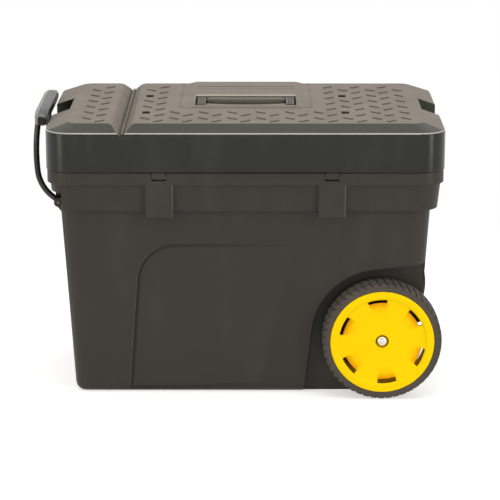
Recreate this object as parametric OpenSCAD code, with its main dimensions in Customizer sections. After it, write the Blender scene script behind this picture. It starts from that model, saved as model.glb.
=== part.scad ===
// Rolling tool chest: a deep moulded tub on two wheels, with a hinged lid, a folding
// carry handle sunk in the lid, a swinging pull handle at one end, two hook latches
// and a tote tray that slides on a ledge inside the rim.
//
// Frame: X runs along the chest, from the pull handle (-X) to the wheels (+X).
// Y runs across it, from the hinge side (-Y) to the latch side (+Y). Z is up. The
// origin is at the middle of the tub's footprint, on the floor.

/* [Tub] */
// Length of the tub at the floor
tub_base_length = 516; // [506:1:526]
// Depth of the tub at the floor
tub_base_depth = 303; // [297:1:313]
// How far each wall leans out between the floor and the collar
wall_flare = 17; // [14:0.5:20]
// Height of the collar's lower edge
collar_z = 288; // [284:1:292]
// Height of the rim flange's lower edge
flange_z = 328; // [326:1:334]
// Height of the rim that the lid sits on
rim_z = 347; // [345:1:352]
// Step out from the wall to the collar
collar_step = 10; // [8:0.5:12]
// Step out from the wall to the rim flange
flange_step = 18; // [17:0.5:20]
// Thickness of the tub's walls
wall = 3.5; // [2.5:0.1:4]
// Radius of the tub's upright corners at the floor
tub_corner = 20; // [16:1:24]
// Radius of the edge between the walls and the floor
floor_edge = 12; // [8:1:14]
// Depth of the pressed-in side panels at their deep end
panel_depth = 3; // [1:0.5:4]
// Height of the side panels
panel_top = 234; // [226:1:240]
// Radius of the side panels' round corner
panel_corner = 58; // [40:1:64]

/* [Lid] */
// Height of the lid's flat top
lid_top_z = 417; // [414:1:420]
// Height where the top's slopes meet the skirt
shoulder_z = 405; // [403:1:408]
// Overhang of the lid's skirt past the rim flange
lid_overhang = 1.2; // [0.8:0.1:1.6]
// Gap between the lid's skirt and the rim
lid_gap = 0.5; // [0.4:0.1:0.8]
// Thickness of the lid's walls
lid_wall = 3; // [2.5:0.1:3.4]
// Width of the sloped border at each end of the top
end_slope = 32; // [28:1:34]
// Width of the sloped border along each side of the top
side_slope = 21.5; // [18:0.5:24]
// Distance of the saw groove from the middle
groove_x = 181.5; // [176:0.5:186]
// Half width of the saw groove at the top
groove_half_width = 16; // [13:0.5:18]
// Depth of the saw groove
groove_depth = 17; // [12:0.5:18]
// Height of the raised middle of the top
platform_height = 3.2; // [2:0.2:4]
// Half length of the raised middle of the top
platform_half_x = 81; // [80:1:84]
// Distance of the strap slots from the middle
strap_slot_x = 149.5; // [142:0.5:154]
// Angle that the lid opens to
lid_open_angle = 100; // [60:5:100]

/* [Lid end notches] */
// Distance of the notches' inner edge from the middle
notch_x = 267; // [262:1:272]
// Half width of the notches
notch_half_y = 45; // [38:1:50]
// Depth of the notches below the flat top
notch_depth = 19; // [14:1:22]
// Distance of the finger channels from the middle
channel_x = 281; // [278:1:284]

/* [Carry handle] */
// Inner length of the handle pocket
pocket_length = 154; // [150:1:156]
// Inner width of the handle pocket
pocket_width = 74; // [72:1:78]
// Depth of the handle pocket below the raised middle
pocket_depth = 28; // [27:1:32]
// Width of each handle arm
carry_arm_width = 12.5; // [11:0.5:15]
// Radius of the pivot pins
carry_pin_r = 3; // [2:0.25:4]
// Width of the grip bar
carry_bar_width = 16; // [14:0.5:18]

/* [Pull handle] */
// Radius of the handle's rod
rod_r = 4.5; // [3.5:0.25:4.75]
// Distance between the two arms of the handle
arm_spacing = 208; // [190:2:220]
// Length of the short straight at each pivot
arm_foot = 11; // [9:0.5:13]
// Radius of the bend above the pivots
low_bend = 58; // [52:1:60]
// Radius of the long bow up to the grip
bow_radius = 290; // [270:5:310]
// Radius of the pivot pins
pull_pin_r = 2.5; // [2:0.25:2.75]
// How far the grip runs past each arm
grip_overhang = 7; // [6:0.5:16]
// Thickness of the grip, out from the lid's end
grip_thickness = 21; // [19:0.5:23]
// Height of the grip
grip_height = 21; // [19:0.5:23]
// Angle that the pull handle swings out to
pull_swing_angle = 125; // [60:5:125]

/* [Wheels] */
// Outer radius of the tyres
tyre_r = 89; // [86:0.5:91]
// Width of the tyres
tyre_width = 46; // [42:1:48]
// Radius of the hub's outer face
hub_r = 77.5; // [74:0.5:80]
// Position of the axle along the chest
axle_x = 204; // [202:1:206]
// Gap between the tyres and the floor
tyre_clearance = 1; // [0.5:0.25:3]
// Radius of the axle
axle_r = 6.35; // [5:0.05:7]
// How far the wheels stand out past the rim flange
wheel_proud = 3.5; // [2:0.5:7]
// Gap between a tyre and the wheel arch
arch_gap = 15.5; // [12:0.5:17]
// Gap between a tyre and the inner wall of its wheel arch
tyre_side_gap = 6; // [4:0.5:8]
// Thickness of the washers beside the wheels
washer_thickness = 2; // [1:0.25:2.5]

/* [Hinges and latches] */
// Distance of each hinge from the middle
hinge_x = 127; // [112:1:136]
// Width of each moulded hinge block
hinge_width = 40; // [34:1:48]
// Width of the lid's knuckle in each hinge
knuckle_width = 20; // [14:1:24]
// Radius of the hinge pins
hinge_pin_r = 1.5; // [1:0.1:1.8]
// Distance of each latch from the middle
latch_x = 128; // [112:1:136]
// Width of a latch
latch_width = 46; // [38:1:54]
// Height of the latch pivots
latch_pivot_z = 392; // [388:1:396]
// Radius of the latch pins
latch_pin_r = 1.75; // [1.5:0.05:2]
// Angle that a resting latch stands out from its hooked position
latch_ajar = 4.5; // [3.5:0.5:6]

/* [Tray] */
// Length of the tote tray
tray_length = 260; // [230:5:265]
// Depth of the tote tray's bins
tray_depth = 55; // [40:1:60]
// Thickness of the tote tray's walls
tray_wall = 2.5; // [2:0.1:3]

/* [Hidden] */
$fn = 64;
hull_fn = 32;           // facets of the round corners that hulls span
eps = 0.02;             // how far a slab of a hull is thick
past = 60;              // how far a cutting block runs on past the part
running = 0.06;         // radial clearance of a part that turns on a pin
snug = 0.02;            // radial clearance of a pin in its seat

// Tub
base_half_x = tub_base_length/2;
base_half_y = tub_base_depth/2;
wall_lean = atan(wall_flare/collar_z);
body_corner = tub_corner + 8;               // corner radius at the collar's lower edge
collar_corner = body_corner + 6;
flange_corner = body_corner + 8;
collar_taper = 4;                           // how much the collar widens to its top
body_top_x = base_half_x + wall_flare;
body_top_y = base_half_y + wall_flare;
flange_half_x = body_top_x + flange_step;
flange_half_y = body_top_y + flange_step;
ledge_z = collar_z + wall;                  // the inner ledge that the tray slides on
function half_x(z) = base_half_x + wall_flare*z/collar_z;
function half_y(z) = base_half_y + wall_flare*z/collar_z;
function corner_at(z) = tub_corner + 8*z/collar_z;

// Side panel
panel_left_x = -175;                        // the panel's upright edge at the floor
panel_fade_x = 88;                          // where the panel runs out flush
panel_edge_lean = 4.5;

// Wheels, axle and arches
axle_z = tyre_r + tyre_clearance;
wheel_face_y = flange_half_y + wheel_proud; // a wheel's outer face
wheel_inner_y = wheel_face_y - tyre_width;
well_y = wheel_inner_y - tyre_side_gap;     // inner wall of each wheel arch
arch_r = tyre_r + arch_gap;
arch_left_lean = 7.3;
arch_top_rise = 6.3;
recess_x = axle_x - 26;                     // left wall of the axle's recess
recess_top = axle_z + 16;
bearing_thickness = 6;
bearing_r = 20;
mid_bearing_y = 45;
bearing_web = 20;                           // width of each bearing's web along the recess wall
axle_half_length = wheel_face_y - 4;
axle_dome = 3;
hub_boss_gap = washer_thickness + 1;
hub_boss_r = 14;
retainer_recess_r = 9.8;
retainer_thickness = 1.2;
boss_outer_y = wheel_face_y - 10;           // floor of the recess round the axle's end
side_play = 0.4;                            // gap beside a washer or a retainer
rim_seat_r = hub_r - 5.5;                   // seat of the tyre on the hub
hub_slots = 6;
hub_slot_angle = 26;
hub_slot_width = 3.8;
hub_slot_start = 36.5;                      // middle of the first slot
tyre_shoulder = 5;

// Lid
lid_half_x = flange_half_x + lid_overhang;
lid_half_y = flange_half_y + lid_overhang;
lid_corner = flange_corner + lid_overhang;
lid_base_z = rim_z + lid_gap;
shoulder_round = 1.5;
crest_half_x = lid_half_x - end_slope;
crest_half_y = lid_half_y - side_slope;
crest_corner = 18;
platform_z = lid_top_z + platform_height;
platform_front_y = -49;
strap_slot_ys = [-80, 56];
strap_slot = [11, 18];
notch_floor_z = lid_top_z - notch_depth;
channel_floor_z = notch_floor_z - 26;

// Carry handle
pocket_floor_z = platform_z - pocket_depth;
carry_pivot_y = 16 - pocket_width/2;        // clear of the pocket's front wall
carry_pivot_z = pocket_floor_z + 13;
carry_top_z = platform_z - 0.6;
carry_arm_out = pocket_length/2 - 3;
carry_arm_in = carry_arm_out - carry_arm_width;
carry_back_y = pocket_width/2 - 3;
carry_eye_r = 11;
carry_bar_low_z = carry_pivot_z - 2.5;
carry_arm_low_z = carry_pivot_z - 9;
ramp_half_x = carry_arm_in - 1.5;
badge_field = [152, 22, 0.6];               // the shallow bare field behind the handle
badge_field_y = 111;

// Hinges
hinge_axis_y = -(flange_half_y - 2.3);      // near the rim's edge, so that the skirt swings clear of it
hinge_axis_z = rim_z - 7.5;
knuckle_r = 3.4;
hinge_block_y = -(flange_half_y - 10.5);    // inner face of the hinge blocks
hinge_block_z = collar_z - 9;
knuckle_side_gap = 0.4;
knuckle_room = 4.3;                         // clear height under the hinge axis

// Latches
latch_pivot_y = lid_half_y + 4.8;
latch_barrel_r = 4.2;
latch_plate = [-3.9, 0.3];                  // the plate's faces, out from the pivot
latch_nose_z = flange_z - 0.5;              // top face of the hook, closed
latch_nose_reach = latch_pivot_y - flange_half_y + 2.3;
latch_lug_thickness = 4;

// Pull handle: its route in the XZ plane, as headings in degrees from +X
foot_heading = 142;
bow_start_heading = 95.5;
bow_end_heading = 82;
grip_entry = 9;                             // from the end of the bow to the cross bar
pull_pivot = [-(body_top_x + 6), collar_z - 2];
function heading(a) = [cos(a), sin(a)];
function turned(p, r, a1, a2) = p + r*[sin(a1) - sin(a2), cos(a2) - cos(a1)];
foot_end = pull_pivot + arm_foot*heading(foot_heading);
bow_start = turned(foot_end, low_bend, foot_heading, bow_start_heading);
bow_end = turned(bow_start, bow_radius, bow_start_heading, bow_end_heading);
cross_bar = bow_end + grip_entry*heading(bow_end_heading);
cross_bar_r = rod_r - 0.7;
arm_top = rod_r + 0.5;                      // how far the arms run on past the cross bar
seam = 0.2;                                 // gap between two stretches, inside a band
band_half = 0.75;
band_proud = 0.06;
pull_eye_r = 5;
pull_eye_length = 2*rod_r;
rod_pocket_half_y = rod_r + 2.5;
rod_pocket_x = pull_pivot[0] + pull_eye_r + 0.6; // inner face of the pockets
rod_pocket_low = collar_z - 10;
rod_pocket_top = collar_z + 26;
corner_cut_turn = 4.5;                      // the corner cut's wall runs in by this angle
lug_thickness = 5;
grip_inner_x = -(lid_half_x + 1.4);
grip_centre = [grip_inner_x - grip_thickness/2, cross_bar[1] + 1.5];
grip_length = arm_spacing + 2*grip_overhang;
// Stations from the grip's middle to an end: distance from the end, how far the outer face, the
// inner face, the top and the underside draw in, and the radius of the long edges
grip_stations = [
    [41, 0, 0, 0, 0, 7],
    [21, 0.9, 0.2, 1.7, 0.1, 7],
    [4, 2.6, 0.8, 5, 0.6, 6],
    [0, 4.6, 2.8, 7, 2.6, 4]
];
grip_screw_step = arm_spacing/2 - 38;
grip_screw_z = cross_bar[1] + rod_r + 3.2;
grip_screw_length = 13;

// Tray
tray_gap = 1.5;
tray_rim_half_y = body_top_y + collar_step - wall - tray_gap;
tray_bin_half_y = half_y(collar_z - tray_depth) - wall - panel_depth - tray_gap;
tray_bin_half_x = tray_length/2 - 4.5;
tray_x = -(half_x(collar_z - tray_depth) - wall - tray_gap - 2 - tray_bin_half_x);
tray_rim_thickness = 3;
tray_corner = 10;
tray_rim_corner = 34;
tray_divider_y = 70;                        // between the end bins and the middle bins
tray_web = 12;                              // thickness of the middle web that holds the handle
tote_lid_gap = 14;                          // between the tote handle and the lid's pocket
tote_handle_top = pocket_floor_z - lid_wall - tote_lid_gap;
tote_post = [6, 14];
tote_post_y = 52;
tote_post_fit = 0.1;
tote_socket = 20;
tote_bar_r = 9;

// ---- shared outlines ----

// A rectangle with round corners
module round_plate(half_len, half_dep, r) {
    square([2*(half_len - r), 2*half_dep], center = true);
    square([2*half_len, 2*(half_dep - r)], center = true);
    for (sx = [-1, 1], sy = [-1, 1])
        translate([sx*(half_len - r), sy*(half_dep - r)]) circle(r);
}

// A thin slab with round corners, one station of a hull
module slab(z, half_len, half_dep, r) {
    for (sx = [-1, 1], sy = [-1, 1])
        translate([sx*(half_len - r), sy*(half_dep - r), z]) cylinder(r = r, h = eps, $fn = hull_fn);
}

// A profile in the YZ plane, extruded along X about its middle
module along_x(length) {
    rotate([90, 0, 90]) linear_extrude(length, center = true) children();
}

// A profile in the XZ plane, extruded along Y about its middle
module along_y(length) {
    rotate([90, 0, 0]) linear_extrude(length, center = true) children();
}

// ---- tub ----

// The leaning body, shrunk inwards by inset, from the floor up to z_top
module body_form(inset, z_top) {
    edge = max(floor_edge - inset, 1);
    hull() {
        for (a = [0:30:90])
            slab(inset + edge*(1 - cos(a)),
                half_x(inset) - inset - edge*(1 - sin(a)),
                half_y(inset) - inset - edge*(1 - sin(a)),
                tub_corner - inset - edge*(1 - sin(a)) + (inset > 0 ? 1 : 0));
        slab(z_top - eps, half_x(z_top) - inset, half_y(z_top) - inset, corner_at(z_top) - inset);
    }
}

module collar_form(inset, z_bottom, z_top) {
    hull() {
        slab(z_bottom, body_top_x + collar_step - inset, body_top_y + collar_step - inset,
            collar_corner - inset);
        slab(z_top - eps, body_top_x + collar_step + collar_taper - inset,
            body_top_y + collar_step + collar_taper - inset, collar_corner - inset);
    }
}

module flange_form(inset, z_bottom, z_top) {
    translate([0, 0, z_bottom]) linear_extrude(z_top - z_bottom)
        round_plate(flange_half_x - inset, flange_half_y - inset, flange_corner - inset);
}

// Points along a round stretch, from one angle to another
function arc(centre, r, from, to, steps) =
    [for (i = [0:steps]) let (a = from + (to - from)*i/steps) centre + r*heading(a)];

module arch_outline(grow) {
    round_part = arc([axle_x, axle_z], arch_r + grow, 180 - arch_left_lean, 90 + arch_top_rise, 20);
    left = round_part[0];
    top = round_part[20];
    far_x = body_top_x + 40;
    polygon(concat(
        [[left[0] - (left[1] + 5)*tan(arch_left_lean), -5]],
        round_part,
        [[far_x, top[1] + (far_x - top[0])*tan(arch_top_rise)], [far_x, -5]]
    ));
}

module wheel_wells(grow) {
    for (side = [-1, 1])
        translate([0, side*(well_y - grow + past), 0]) along_y(2*past) arch_outline(grow);
}

module axle_recess(grow) {
    translate([recess_x - grow, -well_y - 1, -5])
        cube([body_top_x, 2*well_y + 2, recess_top + grow + 5]);
}

// The pressed-in field of each side wall, deep at its upright edge and running out flush
module side_panel(grow) {
    lean = panel_edge_lean;
    corner = [panel_left_x - panel_fade_x + (panel_top - panel_corner)*tan(lean)
        + panel_corner/cos(lean), panel_top - panel_corner];
    round_part = arc(corner, panel_corner + grow, 180 - lean, 90, 12);
    edge = round_part[0];
    for (side = [0, 1])
        mirror([0, side, 0])
            translate([panel_fade_x, -base_half_y, 0])
                rotate([wall_lean, 0, 0])
                    rotate([0, 0, -atan(panel_depth/(panel_fade_x - panel_left_x))])
                        rotate([90, 0, 0]) translate([0, 0, -grow]) linear_extrude(20)
                            polygon(concat(
                                [[edge[0] - (edge[1] + 5)*tan(lean), -5]],
                                round_part,
                                [[0, panel_top + grow], [0, -5]]
                            ));
}

// Room for the pull handle's arms under the collar, open right round the collar's corners
module rod_pockets(grow) {
    far_x = -(body_top_x + 30);
    near_y = arm_spacing/2 - rod_pocket_half_y - grow;
    lug_y = arm_spacing/2 + rod_pocket_half_y + lug_thickness;
    turned_in = (flange_half_y - lug_y)*tan(corner_cut_turn);
    for (side = [0, 1])
        mirror([0, side, 0]) {
            translate([far_x, near_y, rod_pocket_low])
                cube([rod_pocket_x + grow - far_x, lug_y - near_y, rod_pocket_top + grow - rod_pocket_low]);
            translate([0, 0, collar_z - grow]) linear_extrude(rod_pocket_top - collar_z + 2*grow)
                polygon([
                    [far_x, lug_y - 1],
                    [rod_pocket_x + grow, lug_y - 1],
                    [rod_pocket_x + grow + turned_in, flange_half_y],
                    [far_x, flange_half_y]
                ]);
        }
}

module tub_cavity() {
    body_form(wall, ledge_z + eps);
    collar_form(wall, ledge_z, flange_z + wall + eps);
    flange_form(wall, flange_z + wall, rim_z + 5);
}

// Plates that carry the axle, hanging from the roof of its recess
module axle_bearings() {
    for (y = [-well_y + bearing_thickness/2, -mid_bearing_y, mid_bearing_y, well_y - bearing_thickness/2])
        translate([axle_x, y, axle_z]) along_y(bearing_thickness) {
            circle(bearing_r);
            translate([-bearing_r, 0]) square([2*bearing_r, recess_top - axle_z + 1]);
            translate([recess_x - axle_x - 1, 0]) square([bearing_web, recess_top - axle_z + 1]);
        }
}

module pull_lugs() {
    for (side = [-1, 1], flank = [-1, 1])
        translate([pull_pivot[0], side*arm_spacing/2 + flank*(rod_pocket_half_y + lug_thickness/2),
            pull_pivot[1]])
            along_y(lug_thickness) {
                circle(pull_eye_r + 1.5);
                translate([0, -pull_eye_r - 1.5]) square([8, 2*pull_eye_r + 3]);
                translate([-1, -pull_eye_r - 1.5]) polygon([[0, 0], [9, 0], [9, -12]]);
            }
}

module tub() {
    color([0.268, 0.255, 0.239]) difference() {
        union() {
            difference() {
                union() {
                    body_form(0, collar_z + 1);
                    collar_form(0, collar_z, flange_z + 1);
                    flange_form(0, flange_z, rim_z);
                }
                difference() {
                    tub_cavity();
                    wheel_wells(wall);
                    axle_recess(wall);
                    side_panel(wall);
                    rod_pockets(wall);
                }
                wheel_wells(0);
                axle_recess(0);
                side_panel(0);
                rod_pockets(0);
            }
            axle_bearings();
            pull_lugs();
            for (side = [-1, 1])
                translate([side*hinge_x - hinge_width/2, -flange_half_y, hinge_block_z])
                    cube([hinge_width, flange_half_y + hinge_block_y, rim_z - hinge_block_z]);
        }
        // axle bores
        translate([axle_x, 0, axle_z]) rotate([90, 0, 0])
            cylinder(r = axle_r + snug, h = 2*well_y + 2, center = true);
        // pull handle pin bores
        for (side = [-1, 1])
            translate([pull_pivot[0], side*arm_spacing/2, pull_pivot[1]]) rotate([90, 0, 0])
                cylinder(r = pull_pin_r + snug, h = 2*(rod_pocket_half_y + lug_thickness) + 1, center = true);
        // hinge pin bores and the room that the lid's knuckles swing in
        for (side = [-1, 1]) {
            translate([side*hinge_x, hinge_axis_y, hinge_axis_z]) rotate([0, 90, 0])
                cylinder(r = hinge_pin_r + snug, h = hinge_width + 1, center = true);
            translate([side*hinge_x - knuckle_width/2 - knuckle_side_gap, hinge_axis_y - 10,
                hinge_axis_z - knuckle_room])
                cube([knuckle_width + 2*knuckle_side_gap, 10 + knuckle_r + 0.5, 20]);
        }
    }
}

// ---- lid ----

module lid_form(inset) {
    top = lid_top_z - inset;
    translate([0, 0, lid_base_z - (inset > 0 ? 1 : 0)])
        linear_extrude(shoulder_z - inset - lid_base_z + (inset > 0 ? 1 : 0))
            round_plate(lid_half_x - inset, lid_half_y - inset, lid_corner - inset);
    hull() {
        slab(shoulder_z - inset - eps, lid_half_x - inset, lid_half_y - inset, lid_corner - inset);
        slab(shoulder_z - inset + shoulder_round, lid_half_x - inset - shoulder_round,
            lid_half_y - inset - shoulder_round, lid_corner - inset - shoulder_round);
        slab(top - eps, crest_half_x - inset/2, crest_half_y - inset/2, crest_corner);
    }
}

module platform_form() {
    middle_y = (platform_front_y + crest_half_y)/2;
    half_dep = (crest_half_y - platform_front_y)/2;
    translate([0, middle_y, 0]) hull() {
        slab(lid_top_z - 1, platform_half_x + 13, half_dep + 3, 3);
        slab(platform_z - eps, platform_half_x, half_dep - 3, 3);
    }
}

module saw_groove(drop) {
    translate([-groove_x, 0, 0]) along_y(3*lid_half_y)
        polygon([
            [0, lid_top_z - groove_depth - drop],
            [groove_half_width*1.5, lid_top_z + groove_depth*0.5 - drop],
            [-groove_half_width*1.5, lid_top_z + groove_depth*0.5 - drop]
        ]);
}

module handle_pocket(grow) {
    translate([-pocket_length/2 - grow, -pocket_width/2 - grow, pocket_floor_z - grow])
        cube([pocket_length + 2*grow, pocket_width + 2*grow, past]);
}

module end_notches(grow) {
    for (side = [0, 1])
        mirror([side, 0, 0]) {
            translate([notch_x - grow, -notch_half_y - grow, notch_floor_z - grow])
                cube([past, 2*(notch_half_y + grow), past]);
            translate([channel_x - grow, -notch_half_y - grow, channel_floor_z - grow])
                cube([past, 2*(notch_half_y + grow), past]);
        }
}

// The finger ramp in the pocket, in front of the grip bar
module finger_ramp() {
    along_x(2*ramp_half_x)
        polygon([
            [-pocket_width/2 - 1, pocket_floor_z - 1],
            [-pocket_width/2 - 1, platform_z - 1],
            [-pocket_width/2 + 4, platform_z - 1],
            [6, pocket_floor_z + 9],
            [6, pocket_floor_z - 1]
        ]);
}

module latch_lugs() {
    for (side = [-1, 1], flank = [-1, 1])
        translate([side*latch_x + flank*(latch_width/2 + 0.5 + latch_lug_thickness/2),
            latch_pivot_y, latch_pivot_z])
            along_x(latch_lug_thickness) {
                circle(latch_barrel_r);
                polygon([
                    [-latch_pivot_y + lid_half_y - 1, -14],
                    [-latch_pivot_y + lid_half_y, -14],
                    [latch_barrel_r*cos(30), -latch_barrel_r*sin(30)],
                    [latch_barrel_r*cos(60), latch_barrel_r*sin(60)],
                    [-latch_pivot_y + lid_half_y - 1, 9]
                ]);
            }
}

module lid() {
    color([0.30, 0.29, 0.27]) difference() {
        union() {
            difference() {
                union() {
                    lid_form(0);
                    platform_form();
                }
                difference() {
                    lid_form(lid_wall);
                    saw_groove(lid_wall + 1.5);
                    handle_pocket(lid_wall);
                    end_notches(lid_wall);
                }
                saw_groove(0);
                handle_pocket(0);
                end_notches(0);
                for (side = [-1, 1], y = strap_slot_ys)
                    translate([side*strap_slot_x, y, lid_top_z])
                        cube([strap_slot[0], strap_slot[1], 20], center = true);
                translate([-badge_field[0]/2, badge_field_y - badge_field[1]/2, platform_z - badge_field[2]])
                    cube([badge_field[0], badge_field[1], past]);
            }
            finger_ramp();
            latch_lugs();
            for (side = [-1, 1])
                translate([side*hinge_x, hinge_axis_y, hinge_axis_z]) {
                    rotate([0, 90, 0]) cylinder(r = knuckle_r, h = knuckle_width, center = true);
                    translate([-knuckle_width/2, -knuckle_r, 0])
                        cube([knuckle_width, knuckle_r + 3, lid_base_z - hinge_axis_z + 3]);
                }
        }
        for (side = [-1, 1]) {
            translate([side*hinge_x, hinge_axis_y, hinge_axis_z]) rotate([0, 90, 0])
                cylinder(r = hinge_pin_r + running, h = knuckle_width + 1, center = true);
            translate([side*latch_x, latch_pivot_y, latch_pivot_z]) rotate([0, 90, 0])
                cylinder(r = latch_pin_r + snug, h = latch_width + 2*latch_lug_thickness + 2, center = true);
            translate([side*pocket_length/2, carry_pivot_y, carry_pivot_z]) rotate([0, 90, 0])
                cylinder(r = carry_pin_r + snug, h = 2*lid_wall + 1, center = true);
        }
    }
}

module hinge_pins() {
    color([0.62, 0.62, 0.60])
        for (side = [-1, 1])
            translate([side*hinge_x, hinge_axis_y, hinge_axis_z]) rotate([0, 90, 0])
                cylinder(r = hinge_pin_r, h = hinge_width - 2, center = true);
}

// ---- carry handle ----

module carry_handle() {
    bar_front_y = carry_back_y - carry_bar_width;
    bar_r = 6;
    color([0.33, 0.32, 0.31]) difference() {
        union() {
            for (side = [-1, 1])
                translate([side*(carry_arm_in + carry_arm_width/2), 0, 0]) along_x(carry_arm_width) {
                    translate([carry_pivot_y, carry_pivot_z]) circle(carry_eye_r);
                    translate([carry_pivot_y, carry_arm_low_z])
                        square([carry_back_y - carry_pivot_y, carry_top_z - carry_arm_low_z]);
                }
            hull()
                for (y = [bar_front_y + bar_r, carry_back_y - bar_r],
                    z = [carry_bar_low_z + bar_r, carry_top_z - bar_r])
                    translate([0, y, z]) rotate([0, 90, 0])
                        cylinder(r = bar_r, h = 2*carry_arm_in + 2, center = true, $fn = hull_fn);
        }
        for (side = [-1, 1])
            translate([side*(carry_arm_in + carry_arm_width/2), carry_pivot_y, carry_pivot_z])
                rotate([0, 90, 0])
                    cylinder(r = carry_pin_r + running, h = carry_arm_width + 1, center = true);
    }
}

module carry_handle_pins() {
    pin_in = carry_arm_in + 1;
    pin_out = pocket_length/2 + lid_wall;
    color([0.62, 0.62, 0.60])
        for (side = [-1, 1])
            translate([side*(pin_in + pin_out)/2, carry_pivot_y, carry_pivot_z]) rotate([0, 90, 0])
                cylinder(r = carry_pin_r, h = pin_out - pin_in, center = true);
}

// ---- pull handle ----

module rod_straight(start, a, length, r) {
    translate([start[0], 0, start[1]]) rotate([0, 90 - a, 0])
        translate([0, 0, seam/2]) cylinder(r = r, h = length - seam);
}

module rod_bend(start, bend, a1, a2) {
    centre = start + bend*[sin(a1), -cos(a1)];
    trim = seam/2/bend*180/PI;
    translate([centre[0], 0, centre[1]]) rotate([90, 0, 0]) rotate([0, 0, a2 + 90 + trim])
        rotate_extrude(angle = a1 - a2 - 2*trim, $fn = 180) translate([bend, 0]) circle(rod_r);
}

// A short band that welds two stretches of the rod where they meet
module rod_band(p, a) {
    translate([p[0], 0, p[1]]) rotate([0, 90 - a, 0])
        cylinder(r = rod_r + band_proud, h = 2*band_half, center = true);
}

// The part of the rod that the grip is clamped round, larger by grow all round
module rod_top(grow, lead) {
    for (side = [-1, 1])
        translate([0, side*arm_spacing/2, 0])
            rod_straight(bow_end - lead*heading(bow_end_heading), bow_end_heading,
                lead + grip_entry + arm_top + grow, rod_r + grow);
    translate([cross_bar[0], 0, cross_bar[1]]) rotate([90, 0, 0])
        cylinder(r = cross_bar_r + grow, h = arm_spacing, center = true);
}

module pull_handle_rod() {
    color([0.05, 0.05, 0.05]) difference() {
        union() {
            for (side = [-1, 1])
                translate([0, side*arm_spacing/2, 0]) {
                    translate([pull_pivot[0], 0, pull_pivot[1]]) rotate([90, 0, 0])
                        cylinder(r = pull_eye_r, h = pull_eye_length + 3, center = true);
                    rod_straight(pull_pivot, foot_heading, arm_foot, rod_r);
                    rod_band(foot_end, foot_heading);
                    rod_bend(foot_end, low_bend, foot_heading, bow_start_heading);
                    rod_band(bow_start, bow_start_heading);
                    rod_bend(bow_start, bow_radius, bow_start_heading, bow_end_heading);
                    rod_band(bow_end, bow_end_heading);
                }
            rod_top(0, 0);
        }
        for (side = [-1, 1])
            translate([pull_pivot[0], side*arm_spacing/2, pull_pivot[1]]) rotate([90, 0, 0])
                cylinder(r = pull_pin_r + running, h = pull_eye_length + 4, center = true);
    }
}

module pull_handle_pins() {
    color([0.62, 0.62, 0.60])
        for (side = [-1, 1])
            translate([pull_pivot[0], side*arm_spacing/2, pull_pivot[1]]) rotate([90, 0, 0])
                cylinder(r = pull_pin_r, h = 2*(rod_pocket_half_y + lug_thickness), center = true);
}

// The whole grip before it is split along the cross bar
module grip_form() {
    translate([grip_centre[0], 0, grip_centre[1]]) hull()
        for (station = grip_stations) {
            r = station[5];
            for (x = [station[1] + r - grip_thickness/2, grip_thickness/2 - station[2] - r],
                z = [station[4] + r - grip_height/2, grip_height/2 - station[3] - r])
                translate([x, 0, z]) rotate([90, 0, 0])
                    cylinder(r = r, h = grip_length - 2*station[0], center = true, $fn = hull_fn);
        }
}

module grip_screws_at(head_r, shank_r, head_drop) {
    for (k = [-1:1])
        translate([grip_inner_x - head_drop, k*grip_screw_step, grip_screw_z]) rotate([0, -90, 0]) {
            translate([0, 0, -head_drop - 1]) cylinder(r = head_r, h = head_drop + 3);
            cylinder(r = shank_r, h = grip_screw_length + 1);
        }
}

module pull_grip_outer() {
    color([0.46, 0.445, 0.42]) difference() {
        intersection() {
            grip_form();
            translate([cross_bar[0] - grip_thickness, -grip_length, 0])
                cube([grip_thickness, 2*grip_length, 2*cross_bar[1]]);
        }
        rod_top(snug, 6);
        grip_screws_at(2.7, 1.25 + snug, 1.5);
    }
}

module pull_grip_inner() {
    color([0.16, 0.15, 0.15]) difference() {
        intersection() {
            grip_form();
            translate([cross_bar[0], -grip_length, 0])
                cube([grip_thickness, 2*grip_length, 2*cross_bar[1]]);
        }
        rod_top(snug, 6);
        grip_screws_at(2.7, 1.25 + snug, 1.5);
    }
}

module pull_grip_screws() {
    color([0.62, 0.62, 0.60])
        for (k = [-1:1])
            translate([grip_inner_x - 1.7, k*grip_screw_step, grip_screw_z]) rotate([0, -90, 0]) {
                cylinder(r = 2.5, h = 1.8);
                cylinder(r = 1.25, h = grip_screw_length);
            }
}

// ---- latches ----

module latch(side) {
    z_end = latch_nose_z - latch_pivot_z;
    color([0.13, 0.13, 0.13])
        translate([side*latch_x, latch_pivot_y, latch_pivot_z]) rotate([latch_ajar, 0, 0])
            difference() {
                union() {
                    along_x(latch_width) {
                        circle(latch_barrel_r);
                        polygon([
                            [latch_plate[0], 0],
                            [latch_plate[0], z_end],
                            [-latch_nose_reach, z_end],
                            [-latch_nose_reach, z_end - 3],
                            [latch_plate[0], z_end - 6.5],
                            [latch_plate[1] + 3.5, z_end - 9],
                            [latch_plate[1] + 5, z_end - 7.5],
                            [latch_plate[1], z_end],
                            [latch_plate[1], 0]
                        ]);
                    }
                }
                rotate([0, 90, 0]) cylinder(r = latch_pin_r + running, h = latch_width + 1, center = true);
            }
}

module left_latch() { latch(-1); }

module right_latch() { latch(1); }

module latch_pins() {
    color([0.62, 0.62, 0.60])
        for (side = [-1, 1])
            translate([side*latch_x, latch_pivot_y, latch_pivot_z]) rotate([0, 90, 0])
                cylinder(r = latch_pin_r, h = latch_width + 2*latch_lug_thickness + 1, center = true);
}

// ---- axle and wheels ----

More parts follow.
